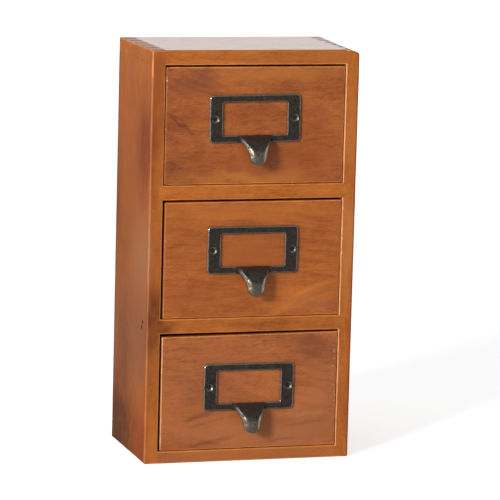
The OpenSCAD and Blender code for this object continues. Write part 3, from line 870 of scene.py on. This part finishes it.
mat_top = wood("wood_top", "x", 3, R_LIGHT, lin(174, 93, 27), C_DARK, middle=(0, Y0, Z1), figure=0.4, pith=(40, 70), blotch=0.25, coat=0.95,
               coat_rough=0.16, end_dark=0.0, end_coat=0.23, end_rough=0.04, edge=0.75, edge_colour=TAN,
               arrises=(("z", Z1 - 4, 1, lin(196, 108, 44), 0.45),),
               dull=(("x", X0 + 8.5, -1, 0.40), ("x", X1 - 8.5, 1, 0.80)))
mat_bottom = wood("wood_bottom", "x", 4, R_LIGHT, R_MID, C_DARK, middle=(0, Y0, Z0), figure=0.4, pith=(50, -50), blotch=0.3,
                  coat=0.35, end_dark=0.0, end_coat=0.15, end_rough=0.04, waver=9.0, patches=(
                      # the left end carries the painted shade of the left side's foot
                      *SIDE_FOOT_SHADE, ((0, FRONT_Y, 3), (90, 5, 9), lin(172, 104, 58), 0.60), ((-46, FRONT_Y, 2), (26, 5, 8), ROSE, 0.30)))
mat_shelf_u = wood("wood_upper_shelf", "x", 5, R_LIGHT, R_MID, C_DARK, middle=(0, Y0, lo_u[2]), figure=0.4, pith=(30, 60), blotch=0.3,
                   coat=0.35)
mat_shelf_l = wood("wood_lower_shelf", "x", 6, R_LIGHT, R_MID, C_DARK, middle=(0, Y0, lo_s[2]), figure=0.4, pith=(-40, 60), blotch=0.3,
                   coat=0.35, patches=(
                       ((10, FRONT_Y, 84), (90, 5, 9), BROWN, 0.35), ((-60, FRONT_Y, 84), (13, 5, 14), lin(92, 38, 14), 0.75),))

cabinet_board("cabinet_left_side", "left_side", mat_left, plugs=("upper", "middle", "lower"))
cabinet_board("cabinet_right_side", "right_side", mat_right, plugs=("upper", "middle", "lower"))
cabinet_board("cabinet_top", "top_panel", mat_top, plugs=("upper",))
cabinet_board("cabinet_bottom", "bottom_panel", mat_bottom, plugs=("lower",))
cabinet_board("cabinet_upper_shelf", "upper_shelf", mat_shelf_u, plugs=("upper", "middle"))
cabinet_board("cabinet_lower_shelf", "lower_shelf", mat_shelf_l, plugs=("middle", "lower"))

# ------------------------------------------------------------------ back

bm = ease_edges(node_mesh("back_panel"), 0.25)
back = bpy.data.meshes.new("back")
bm.to_mesh(back)
bm.free()
mat_back = plywood("plywood_back", 1, (lin(176, 124, 78), lin(140, 90, 52)), "y",
                   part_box("back_panel")[0][1] * 1000, 3.0)


def islands(node):
    """The separate solids of a node, each as (lowest, highest) corner in mm."""
    bm = bmesh.new()
    bm.from_mesh(frame["nodes"][node].data)
    bmesh.ops.remove_doubles(bm, verts=bm.verts, dist=1e-6)
    seen, out = set(), []
    for v in bm.verts:
        if v.index in seen:
            continue
        stack, co = [v], []
        seen.add(v.index)
        while stack:
            w = stack.pop()
            co.append(w.co[:])
            for e in w.link_edges:
                o = e.other_vert(w)
                if o.index not in seen:
                    seen.add(o.index)
                    stack.append(o)
        co = np.array(co) * 1000
        out.append((co.min(0), co.max(0)))
    bm.free()
    return out


def lathe(profile, n=20):
    """A closed turned shape about Z from (radius, z) pairs; the first and last radius are 0."""
    verts, faces = [(0, 0, profile[0][1])], []
    for r, z in profile[1:-1]:
        for k in range(n):
            a = 2 * math.pi * k / n
            verts.append((r * math.cos(a), r * math.sin(a), z))
    verts.append((0, 0, profile[-1][1]))
    m = len(profile) - 2
    for k in range(n):
        faces.append((0, 1 + (k + 1) % n, 1 + k))
        for i in range(m - 1):
            a, b = 1 + i * n + k, 1 + i * n + (k + 1) % n
            faces.append((a, b, b + n, a + n))
        faces.append((1 + (m - 1) * n + k, 1 + (m - 1) * n + (k + 1) % n, len(verts) - 1))
    return verts, faces


def pins_piece(name, node, head, sink, mat, axis_hint=None):
    """Pins that stand for a node's: a low domed head sunk a little under the surface, and a pointed shank."""
    allv, allf = [], []
    for a, b in islands(node):
        size = b - a
        ax = int(np.argmax(size))
        length = size[ax]
        mid = (a + b) / 2
        cross = [i for i in range(3) if i != ax]
        d_head = max(size[cross[0]], size[cross[1]])
        # the head end is the outer one: it lies further from the part's middle line
        sign = {0: (1 if mid[0] < 0 else -1), 1: (-1 if mid[1] > 0 else 1), 2: 1}[ax]
        start = a[ax] if sign > 0 else b[ax]
        rs = 0.60
        if head:
            rh = d_head / 2
            prof = [(0, sink), (rh * 0.45, sink + 0.02), (rh * 0.8, sink + 0.08), (rh * 0.97, sink + 0.2), (rh * 0.97, sink + 0.45),
                    (rs, sink + 0.75), (rs, length - 1.4), (rs * 0.5, length - 0.5), (0, length - 0.02)]
        else:
            prof = [(0, sink), (rs * 0.7, sink + 0.03), (rs * 0.97, sink + 0.16), (rs, length - 1.4), (rs * 0.5, length - 0.5),
                    (0, length - 0.02)]
        v, f = lathe(prof, 16)
        base = len(allv)
        for (x, y, z) in v:
            p = np.zeros(3)
            p[ax] = start + sign * z
            p[cross[0]] = mid[cross[0]] + x
            p[cross[1]] = mid[cross[1]] + y
            allv.append(p)
        allf += [tuple(base + i for i in face) for face in f]
    me = mesh_from(name, allv, allf)
    bm = bmesh.new()
    bm.from_mesh(me)
    bmesh.ops.recalc_face_normals(bm, faces=bm.faces)
    bm.to_mesh(me)
    bm.free()
    me = finish_mesh(me, angle=50, weighted=False)
    return piece(name, me, [node], mat)


def holes_for(me, node, radius, depth, axis):
    """Shallow round recesses over the heads of a node's pins, so that they sit under the surface."""
    verts, faces = [], []
    for a, b in islands(node):
        mid = (a + b) / 2
        size = b - a
        if int(np.argmax(size)) != axis:
            continue
        sign = {0: (1 if mid[0] < 0 else -1), 1: (-1 if mid[1] > 0 else 1), 2: 1}[axis]
        start = a[axis] if sign > 0 else b[axis]
        cross = [i for i in range(3) if i != axis]
        v, f = lathe([(0, -1), (radius + 0.15 + 1.0, -1), (radius + 0.15, 0), (radius, 0.12), (radius * 0.98, depth), (0, depth)], 20)
        base = len(verts)
        for (x, y, z) in v:
            p = np.zeros(3)
            p[axis] = start + sign * z
            p[cross[0]] = mid[cross[0]] + x
            p[cross[1]] = mid[cross[1]] + y
            verts.append(p)
        faces += [tuple(base + i for i in face) for face in f]
    if not verts:
        return me
    cut = mesh_from("cut", verts, faces)
    bm = bmesh.new()
    bm.from_mesh(cut)
    bmesh.ops.recalc_face_normals(bm, faces=bm.faces)
    bm.to_mesh(cut)
    bm.free()
    return boolean(me, cut, "DIFFERENCE")


back = holes_for(back, "back_pins", 1.15, 0.55, 1)
piece("cabinet_back", finish_mesh(back), ["back_panel"], mat_back)
mat_pin = steel("steel_pin")
pins_piece("cabinet_back_pins", "back_pins", True, 0.28, mat_pin)
mat_brad = steel("steel_brad", (0.10, 0.07, 0.055, 1))
pins_piece("cabinet_shelf_brads", "shelf_brads", False, 0.03, mat_brad)

# ------------------------------------------------------------------ drawers

MAUVE, GRAINY, GLOW = lin(122, 66, 44), lin(118, 58, 26), lin(196, 112, 44)
INK = lin(96, 44, 20)
FRONT_LOOK = {
    "upper": dict(seed=11, light=lin(188, 106, 42), mid=lin(162, 88, 40), dark=lin(108, 52, 20), pith=(-16, 14), tilt=0.10,
                  taper=0.30, figure=0.40, blotch=0.40, ring=5.2, lean=0.45,
                  arrises=(("x", -54, -1, lin(170, 100, 52), 0.5),),
                  chip_zones=(((-55.6, FRONT_Y, 231), (1.0, 3, 7), 1.0), ((0, FRONT_Y, 171.4), (58, 3, 0.8), 0.35)),
                  patches=(
                      ((-36, FRONT_Y, 232), (22, 9, 10), MAUVE, 0.70),
                      ((-48, FRONT_Y, 211), (16, 9, 10), GRAINY, 0.40),
                      ((-46, FRONT_Y, 184), (20, 9, 8), GRAINY, 0.40),
                      ((0, FRONT_Y, 184), (60, 9, 12), lin(150, 74, 32), 0.40),
                      ((38, FRONT_Y, 194), (22, 9, 22), REDDISH, 0.35),
                      ((16, FRONT_Y, 239), (44, 9, 7), AMBER, 0.50),
                      ((-8, FRONT_Y, 174), (50, 9, 4.5), AMBER, 0.55),
                      ((-2, FRONT_Y, 216), (20, 9, 12), REDDISH, 0.22)),
                  lines=(
                      ((-49, FRONT_Y, 209), 9, 0.9, -38, 0.0, INK, 0.75),
                      ((-44, FRONT_Y, 207), 7, 0.8, -58, 0.02, INK, 0.65),
                      ((-52, FRONT_Y, 213), 6, 0.7, -20, 0.0, INK, 0.45),
                      ((-36, FRONT_Y, 231), 12, 1.3, -14, 0.0, lin(112, 58, 40), 0.60),
                      ((-30, FRONT_Y, 226), 11, 0.9, -10, 0.01, INK, 0.35),
                      ((-50, FRONT_Y, 183), 7, 0.8, -24, 0.0, INK, 0.55),
                      ((-40, FRONT_Y, 186), 9, 0.7, -12, 0.01, INK, 0.35),
                      ((40, FRONT_Y, 198), 14, 0.8, 8, -0.006, lin(124, 56, 22), 0.35),
                      ((20, FRONT_Y, 228), 16, 0.9, 4, 0.0, lin(130, 62, 26), 0.25))),
    "middle": dict(seed=12, light=lin(194, 112, 46), mid=lin(166, 88, 34), dark=lin(116, 58, 24), pith=(-40, 20), tilt=-0.12,
                   taper=0.18, figure=0.40, blotch=0.30, ring=6.0, lean=0.30,
                   arrises=(("x", -54, -1, lin(184, 112, 62), 0.5),),
                   chip_zones=(((50, FRONT_Y, 92), (9, 3, 2.4), 0.35), ((54, FRONT_Y, 130), (1.2, 3, 26), 0.45)),
                   patches=(
                       ((0, FRONT_Y, 154), (60, 9, 9), GLOW, 0.45),
                       ((-36, FRONT_Y, 100), (26, 9, 12), lin(140, 70, 32), 0.45),
                       ((34, FRONT_Y, 104), (34, 9, 8), GLOW, 0.55),
                       ((26, FRONT_Y, 96), (26, 9, 3.4), GLOW, 0.50),
                       ((0, FRONT_Y, 126), (34, 9, 16), lin(172, 94, 38), 0.50),
                       ((40, FRONT_Y, 97), (18, 9, 3.4), ROSE, 0.65),
                       ((-47, FRONT_Y, 142), (12, 9, 20), GRAINY, 0.22)),
                   lines=(
                       ((26, FRONT_Y, 96), 22, 1.9, 22, -0.004, lin(206, 128, 60), 0.45),
                       ((38, FRONT_Y, 101), 20, 1.3, 22, -0.004, lin(136, 74, 48), 0.45),
                       ((40, FRONT_Y, 107), 20, 1.2, 20, -0.004, lin(208, 126, 54), 0.50),
                       ((-46, FRONT_Y, 134), 10, 1.0, 16, -0.01, lin(128, 62, 26), 0.40),
                       ((-34, FRONT_Y, 112), 16, 1.0, -8, 0.004, lin(128, 62, 28), 0.30))),
    "lower": dict(seed=13, light=lin(190, 112, 60), mid=lin(170, 95, 46), dark=lin(116, 60, 30), pith=(40, 24), tilt=0.10,
                  taper=-0.12, figure=0.45, blotch=0.40, ring=5.0, lean=0.30,
                  # the left edge is painted pale and bright, partly a painted highlight
                  arrises=(("x", -54, -1, lin(226, 164, 110), 0.9),),
                  chip_zones=(((53.5, FRONT_Y, 60), (3.2, 3, 18), 0.8), ((54.5, FRONT_Y, 30), (1.4, 3, 24), 0.5),
                              ((0, FRONT_Y, 8.4), (58, 3, 0.8), 0.3)),
                  patches=(
                      ((-30, FRONT_Y, 44), (36, 9, 34), ROSE, 0.30),
                      ((42, FRONT_Y, 68), (18, 9, 11), lin(116, 60, 42), 0.75),
                      ((30, FRONT_Y, 74), (18, 9, 6), MAUVE, 0.40),
                      ((38, FRONT_Y, 36), (20, 9, 7), lin(186, 112, 66), 0.50),
                      ((34, FRONT_Y, 20), (34, 9, 12), ROSE, 0.45),
                      ((-36, FRONT_Y, 13), (24, 9, 6), GRAINY, 0.40),
                      ((-20, FRONT_Y, 34), (30, 9, 5), lin(180, 104, 50), 0.40),
                      ((6, FRONT_Y, 18), (64, 9, 14), lin(178, 110, 66), 0.70),
                      ((46, FRONT_Y, 44), (12, 9, 26), lin(176, 108, 66), 0.45)),
                  lines=(
                      ((-32, FRONT_Y, 28), 14, 1.2, 17, 0.0, INK, 0.50),
                      ((-27, FRONT_Y, 24.5), 12, 0.9, 14, 0.0, INK, 0.32),
                      ((-30, FRONT_Y, 11), 16, 1.1, 6, 0.0, INK, 0.45),
                      ((-20, FRONT_Y, 13.5), 14, 1.0, 10, 0.0, INK, 0.38),
                      ((-45, FRONT_Y, 71), 6, 0.8, 6, 0.0, INK, 0.35),
                      ((36, FRONT_Y, 22), 18, 0.9, 5, 0.0, lin(120, 66, 44), 0.45),
                      ((36, FRONT_Y, 28), 22, 1.6, 3, 0.0, lin(200, 132, 86), 0.35),
                      ((20, FRONT_Y, 12), 16, 0.7, 4, 0.0, lin(122, 64, 40), 0.40))),
}


def front_outline(node):
    """The front's corners on its outer face: left, right, lower, and upper at the left and right end."""
    co = np.array([v.co[:] for v in frame["nodes"][node].data.vertices]) * 1000
    face = co[co[:, 1] < co[:, 1].min() + 0.05]
    x0, x1, z0 = face[:, 0].min(), face[:, 0].max(), face[:, 2].min()
    left = face[face[:, 0] < x0 + 0.05][:, 2].max()
    rgt = face[face[:, 0] > x1 - 0.05][:, 2].max()
    return x0, x1, z0, left, rgt, co[:, 1].min(), co[:, 1].max()


mat_nail = steel("steel_nail", (0.36, 0.34, 0.31, 1))

for key in ("upper", "middle", "lower"):
    look = FRONT_LOOK[key]
    node = key + "_drawer_front"
    x0, x1, z0, zl, zr, y0, y1 = front_outline(node)
    zt = max(zl, zr)

    def slant(p, x0=x0, x1=x1, z0=z0, zl=zl, zr=zr, zt=zt):
        q = np.array(p, float)
        top = zl + (zr - zl) * (q[0] - x0) / (x1 - x0)
        q[2] = z0 + (q[2] - z0) * (top - z0 - 2 * SKIN) / (zt - z0 - 2 * SKIN) if q[2] > z0 + 3 else q[2]
        return q

    def front_radius(p, y0=y0, seed=look["seed"]):
        r = 0.82 + 0.20 * wobble(p, 11, seed) + 0.14 * wobble(p, 4, seed + 2)
        return r if p[1] < y0 + 2 else 0.35

    shell = rounded_box("shell", (x0 + SKIN, y0 + SKIN, z0 + SKIN), (x1 - SKIN, y1 - SKIN, zt - SKIN), front_radius, 1.25, 5.0,
                        bend=slant)
    bm = ease_edges(node_mesh(node), 0.10)
    me = bpy.data.meshes.new("front")
    bm.to_mesh(me)
    bm.free()
    me = boolean(me, shell, "INTERSECT")
    me = finish_mesh(me)
    mid_z = (z0 + zt) / 2
    mat = wood("wood_front_" + key, "x", look["seed"], look["light"], look["mid"], look["dark"],
               middle=(0, y0, mid_z), figure=look["figure"], ring=look["ring"], pith=look["pith"], tilt=look["tilt"],
               taper=look["taper"], blotch=look["blotch"], coat=0.4, coat_rough=0.2, chips=0.85, edge=0.7,
               patches=look["patches"], lines=look["lines"], lean=look["lean"], arrises=look["arrises"],
               chip_zones=look["chip_zones"])
    piece(key + "_front", me, [node], mat)

    for part, grain, sd in (("left_side", "y", 1), ("right_side", "y", 2), ("back", "x", 3)):
        node = f"{key}_drawer_{part}"
        bm = ease_edges(node_mesh(node), 0.35, segments=3)
        me = bpy.data.meshes.new(node)
        bm.to_mesh(me)
        bm.free()
        if part != "back":
            me = holes_for(me, key + "_drawer_nails", 1.15, 0.5, 0)
        me = finish_mesh(me)
        lo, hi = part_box(node)
        mat = wood(f"wood_{key}_{part}", grain, look["seed"] * 3 + sd, lin(196, 138, 82), lin(174, 112, 60), lin(126, 74, 36),
                   middle=tuple((lo + hi) * 500), figure=0.6, ring=3.8, pith=(-30 - 9 * sd, 40), blotch=0.4, coat=0.05,
                   rough=0.58, edge=0.25, end_dark=0.4)
        piece(f"{key}_box_{part}", me, [node], mat)
    node = f"{key}_drawer_bottom"
    bm = ease_edges(node_mesh(node), 0.2)
    me = bpy.data.meshes.new(node)
    bm.to_mesh(me)
    bm.free()
    mat = plywood(f"plywood_{key}", look["seed"], (lin(202, 160, 112), lin(172, 124, 78)), "z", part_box(node)[0][2] * 1000, 3.0)
    piece(f"{key}_box_bottom", finish_mesh(me), [node], mat)
    pins_piece(f"{key}_box_nails", f"{key}_drawer_nails", True, 0.22, mat_nail)

# ------------------------------------------------------------------ pulls

PLATE_W, PLATE_H, PLATE_T, PLATE_R = 57.0, 29.0, 1.8, 2.6
WIN_W, WIN_H = 40.5, 20.0
SCREW = 25.0
OUT, DOWN, TT, BOW = 11.5, 27.3, 2.8, 14.0
RAIL = WIN_H / 2 + 0.3
BOW_O = OUT - BOW                                         # centre of the tongue's bow
BOW_Z = -(RAIL + math.sqrt(BOW ** 2 - (PLATE_T - BOW_O) ** 2))


def rrect(x, z, hw, hh, r):
    qx, qz = np.abs(x) - hw + r, np.abs(z) - hh + r
    return np.hypot(np.maximum(qx, 0), np.maximum(qz, 0)) + np.minimum(np.maximum(qx, qz), 0) - r


END_R = 5.3


def smooth(a, b, v):
    u = np.clip((v - a) / (b - a), 0, 1)
    return u * u * (3 - 2 * u)


def pull_field(seed, dx):
    def field(x, y, z):
        o, ax = -y, np.abs(x)
        plate = rmax_(rrect(x, z, PLATE_W / 2, PLATE_H / 2, PLATE_R), np.maximum(-o, o - PLATE_T), 0.9)
        # the tongue is a hood that bows out of the lower rail and ends in a lip that hangs down
        xt = np.abs(x - dx)
        oo = np.maximum(o, 0.6)
        fill = np.where(z >= BOW_Z, np.hypot(oo - BOW_O, z - BOW_Z) - BOW, o - OUT)
        u = np.clip((-z - RAIL) / (DOWN - END_R - RAIL), 0, 1)
        half = np.minimum(9.4, END_R + 6.3 * (1 - u) ** 1.5)
        outline = np.where(z < -(DOWN - END_R), np.hypot(xt, z + DOWN - END_R) - END_R, (xt - half) * 0.90)
        side_lip = 0.58 * (xt - (half - 2.7)) + 0.815 * fill
        side_root = 0.955 * (xt - 9.5) + 0.296 * (o - PLATE_T)
        w = smooth(-17.5, -12.5, z)
        side = side_lip * (1 - w) + side_root * w
        skin = rmax_(fill, side, 1.0)
        hood = rmax_(skin, outline, 0.45 + 0.5 * smooth(-23.5, -25.5, z))
        open_side = np.where(z < -15.0, side_lip, side) + 1.7 - 3.0 * np.clip(-14.4 - z - 0.22 * (o - PLATE_T), 0, 0.02)
        hood = rmax_(hood, -rmax_(fill + TT, open_side, 0.8), 0.3)
        hood = np.maximum(hood, 1.0 - o)
        d = smin(plate, hood, 0.35)
        window = rrect(x, z, WIN_W / 2, WIN_H / 2, 1.0)
        d = rmax_(d, -window, 0.6)
        pocket = np.maximum(np.maximum(ax - WIN_W / 2 - 2, o - 0.6), -(z + WIN_H / 2 + 1.5))
        d = np.maximum(d, -pocket)
        rho = np.hypot(ax - SCREW, z)
        sink = np.maximum((rho - (1.25 + np.maximum(o - 0.7, 0))) * 0.72, -(o + 1))
        d = rmax_(d, -sink, 0.12)
        d = d + 0.030 * waves(x, y, z, 4.5, seed) + 0.014 * waves(x, y, z, 1.6, seed + 50)
        return np.maximum(d, np.maximum(-o, o - OUT))
    return field


def screw_field(side, seed, turn):
    c, s = math.cos(turn), math.sin(turn)

    def field(x, y, z):
        xx, o = x - side * SCREW, -y
        rho = np.hypot(xx, z)
        top = PLATE_T - 0.72
        head = np.maximum((rho - 1.55 + (top - o)) * 0.707, o - top)
        head = np.maximum(head, top - 0.8 - o)
        shank = np.maximum(rho - 0.98, np.maximum(o - top + 0.3, -(o + 5.6)))
        tip = (rho - 1.0 + np.maximum(0, -5.0 - o)) * 0.8
        body = np.minimum(head, np.maximum(shank, tip))
        dome = np.hypot(rho, o - (top - 5.0)) - 5.02
        body = np.maximum(body, dome)
        slot = np.maximum(np.abs(xx * s + z * c) - 0.25, (top - 0.3) - o)
        return rmax_(body, -slot, 0.08)
    return field


POSE = {"upper": (-0.6, 4.0, 0.7, 0.0), "middle": (0.0, 5.5, 0.0, 0.4), "lower": (-0.3, 2.7, -0.2, 0.5)}

for i, key in enumerate(("upper", "middle", "lower")):
    px, pz, tilt, dx = POSE[key]
    zc = (OPEN[key][0] + OPEN[key][1]) / 2 + pz
    place = Matrix.Translation((px, Y0, zc)) @ Matrix.Rotation(math.radians(-tilt), 4, "Y")
    field = pull_field(21 + i, dx)
    pos, faces = surface_nets(field, (-28.6, -11.5, -27.5), (28.6, 0.0, 14.6), 0.24)
    # bright metal on convex edges: wear, and partly a painted highlight
    worn_and_glint = np.clip(bulge(field, pos, 0.55) / 0.30, 0, 1)
    rho = np.hypot(np.abs(pos[:, 0]) - SCREW, pos[:, 2])
    out = -pos[:, 1]
    near = out < PLATE_T + 0.3
    # the countersink walls get bright metal, partly a painted highlight, and their rims get none
    worn_and_glint = np.where(near & (rho < 3.2), np.where((rho < 2.3) & (out > 0.75), 0.45, 0.0), worn_and_glint)
    facing = field_grad(field, pos)[1]
    # the tongue is rubbed brass on its lip and along its two facets, lighter there also as a painted reflection and
    # highlight, and stays dark on its crown
    below = np.clip((-pos[:, 2] - 11.0) / 2.0, 0, 1) * np.clip((out - 2.2) / 1.5, 0, 1)
    lip = smooth(-14.0, -24.0, pos[:, 2]) * np.clip(-facing[:, 1] * 1.5 - 0.3, 0, 1) * np.clip((out - 6.0) / 2.0, 0, 1)
    sides = smooth(0.30, 0.55, np.abs(facing[:, 0])) * np.clip(-facing[:, 1] * 3.2, 0, 1)
    low = smooth(-13.5, -18.0, pos[:, 2])
    rubbed_and_sheen = below * np.clip(0.60 * lip + sides * low, 0, 1) * smooth(-0.55, -0.15, facing[:, 2])
    xt = np.abs(pos[:, 0] - dx)
    u = np.clip((-pos[:, 2] - RAIL) / (DOWN - END_R - RAIL), 0, 1)
    inside = np.where(pos[:, 2] < -(DOWN - END_R), END_R - np.hypot(xt, pos[:, 2] + DOWN - END_R),
                      np.minimum(9.4, END_R + 6.3 * (1 - u) ** 1.5) - xt)
    rim = smooth(2.3, 1.0, inside) * smooth(-20.5, -23.5, pos[:, 2]) * np.clip(-facing[:, 1] * 2.0 - 0.4, 0, 1)
    rubbed_and_sheen = np.maximum(rubbed_and_sheen, 0.86 * rim * below)
    # painted reflection: the tongue's shoulders are given a lighter grey
    shoulder_sheen = below * sides * (1 - low)
    root = (np.abs(pos[:, 0] - dx) < 11) & (pos[:, 2] < -10.0) & (out > PLATE_T - 0.2)
    worn_and_glint = np.where(root, 0.0, worn_and_glint)
    me = mesh_from(key + "_pull", pos, faces)
    me.transform(place)
    for nm, data in (("worn_and_glint", worn_and_glint), ("rubbed_and_sheen", rubbed_and_sheen), ("shoulder_sheen", shoulder_sheen)):
        at = me.attributes.new(nm, "FLOAT", "POINT")
        at.data.foreach_set("value", data.astype(np.float32))
    me.polygons.foreach_set("use_smooth", [True] * len(me.polygons))
    piece(key + "_label_pull", me, [key + "_pull"], cast_iron("antique_iron_" + key, i + 1))
    vs, fs = [], []
    for side, turn in ((-1, 0.6 + i), (1, 2.0 - 0.7 * i)):
        pos, faces = surface_nets(screw_field(side, 5, turn), (side * SCREW - 2.4, -1.6, -2.4), (side * SCREW + 2.4, 6.0, 2.4), 0.14)
        faces = faces + sum(len(v) for v in vs)
        vs.append(pos)
        fs.append(faces)
    me = mesh_from(key + "_screws", np.concatenate(vs), np.concatenate(fs))
    me.transform(place)
    me.polygons.foreach_set("use_smooth", [True] * len(me.polygons))
    piece(key + "_pull_fixings", me, [key + "_pull_screws"], steel("screw_" + key, (0.085, 0.075, 0.065, 1), dull=0.18))

# ------------------------------------------------------------------ stage and light

bm = bmesh.new()
bmesh.ops.create_grid(bm, x_segments=24, y_segments=24, size=9.0)
floor_me = bpy.data.meshes.new("floor")
bm.to_mesh(floor_me)
bm.free()
floor = bpy.data.objects.new("floor", floor_me)
floor.location = (0, 0, -0.0002)
bpy.context.scene.collection.objects.link(floor)
fl = Net("stage_floor")
fine = fl.noise(fl.vec("SCALE", fl.obj, scale=3.0), detail=2.0)
fl.set(base=fl.mix(fine, (0.90, 0.90, 0.90, 1), (0.93, 0.93, 0.93, 1)), rough=0.9)
fl.bsdf.inputs["Specular IOR Level"].default_value = 0.1
glow = fl.t.nodes.new("ShaderNodeEmission")
glow.inputs[0].default_value = (1, 1, 1, 1)
seen = fl.t.nodes.new("ShaderNodeLightPath")
fl.t.links.new(fl.mul(seen.outputs["Is Camera Ray"], fl.range(fl.vec("LENGTH", fl.obj), 0.5, 2.5, 0.62, 0.95)), glow.inputs[1])
both = fl.t.nodes.new("ShaderNodeAddShader")
fl.t.links.new(fl.bsdf.outputs[0], both.inputs[0])
fl.t.links.new(glow.outputs[0], both.inputs[1])
fl.t.links.new(both.outputs[0], fl.out.inputs[0])
floor.data.materials.append(fl.mat)
floor.visible_glossy = False


def area(name, where, aim, size, power, colour=(1, 1, 1), glossy=True):
    d = bpy.data.lights.new(name, "AREA")
    d.shape, d.size, d.size_y = "RECTANGLE", size[0], size[1]
    d.energy, d.color = power, colour
    o = bpy.data.objects.new(name, d)
    o.location = where
    o.rotation_mode = "QUATERNION"
    o.rotation_quaternion = (Vector(aim) - Vector(where)).to_track_quat("-Z", "Y")
    o.visible_camera = False
    o.visible_glossy = glossy
    bpy.context.scene.collection.objects.link(o)
    return o


area("key", (-1.79, -1.55, 0.93), (0, 0, 0.12), (0.55, 0.55), 54)
area("card", (1.6, -0.35, -0.05), (0, 0, 0.12), (0.6, 0.9), 1.6).visible_diffuse = False
area("top_box", (-0.3, -0.4, 2.3), (0, 0, 0.12), (1.2, 1.2), 5, glossy=False)

world = bpy.data.worlds.new("studio")
bpy.context.scene.world = world
world.use_nodes = True
wt = world.node_tree
wt.nodes.clear()
wo = wt.nodes.new("ShaderNodeOutputWorld")
bg = wt.nodes.new("ShaderNodeBackground")
tc = wt.nodes.new("ShaderNodeTexCoord")
sep = wt.nodes.new("ShaderNodeSeparateXYZ")
wt.links.new(tc.outputs["Generated"], sep.inputs[0])
ramp = wt.nodes.new("ShaderNodeValToRGB")
mr = wt.nodes.new("ShaderNodeMapRange")
wt.links.new(sep.outputs[2], mr.inputs[0])
mr.inputs[1].default_value, mr.inputs[2].default_value = -1.0, 1.0
wt.links.new(mr.outputs[0], ramp.inputs[0])
els = ramp.color_ramp.elements
stops = [(0.0, 0.20), (0.42, 0.17), (0.49, 0.21), (0.52, 0.34), (0.66, 0.31), (0.82, 0.22), (1.0, 0.18)]
while len(els) < len(stops):
    els.new(0.5)
for e_, (pp, vv) in zip(els, stops):
    e_.position, e_.color = pp, (vv, vv, vv, 1)


def glow_towards(direction, narrow, wide, strength):
    """A soft bright area of the studio, around a direction."""
    d = Vector(direction).normalized()
    dot = wt.nodes.new("ShaderNodeVectorMath")
    dot.operation = "DOT_PRODUCT"
    wt.links.new(tc.outputs["Generated"], dot.inputs[0])
    dot.inputs[1].default_value = d
    soft = wt.nodes.new("ShaderNodeMapRange")
    soft.interpolation_type = "SMOOTHSTEP"
    wt.links.new(dot.outputs["Value"], soft.inputs[0])
    for k, v in enumerate((wide, narrow, 0.0, strength)):
        soft.inputs[k + 1].default_value = v
    return soft.outputs[0]


total = ramp.outputs[0]
for g in (glow_towards((0.28, 0.90, 0.34), 0.985, 0.80, 0.72), glow_towards((-0.97, 0.12, -0.12), 0.97, 0.80, 0.8)):
    plus = wt.nodes.new("ShaderNodeMix")
    plus.data_type, plus.blend_type = "RGBA", "ADD"
    plus.inputs[0].default_value = 1.0
    wt.links.new(total, plus.inputs[6])
    wt.links.new(g, plus.inputs[7])
    total = plus.outputs[2]
direct = wt.nodes.new("ShaderNodeLightPath")
plain = wt.nodes.new("ShaderNodeMix")
plain.data_type = "RGBA"
wt.links.new(direct.outputs["Is Camera Ray"], plain.inputs[0])
wt.links.new(total, plain.inputs[6])
plain.inputs[7].default_value = (1.05, 1.05, 1.05, 1)
wt.links.new(plain.outputs[2], bg.inputs[0])
bg.inputs[1].default_value = 1.0
wt.links.new(bg.outputs[0], wo.inputs[0])

bpy.context.scene.view_settings.view_transform = "Standard"
bpy.context.scene.view_settings.look = "None"

# ------------------------------------------------------------------ end

bpy.data.meshes.remove(hull)
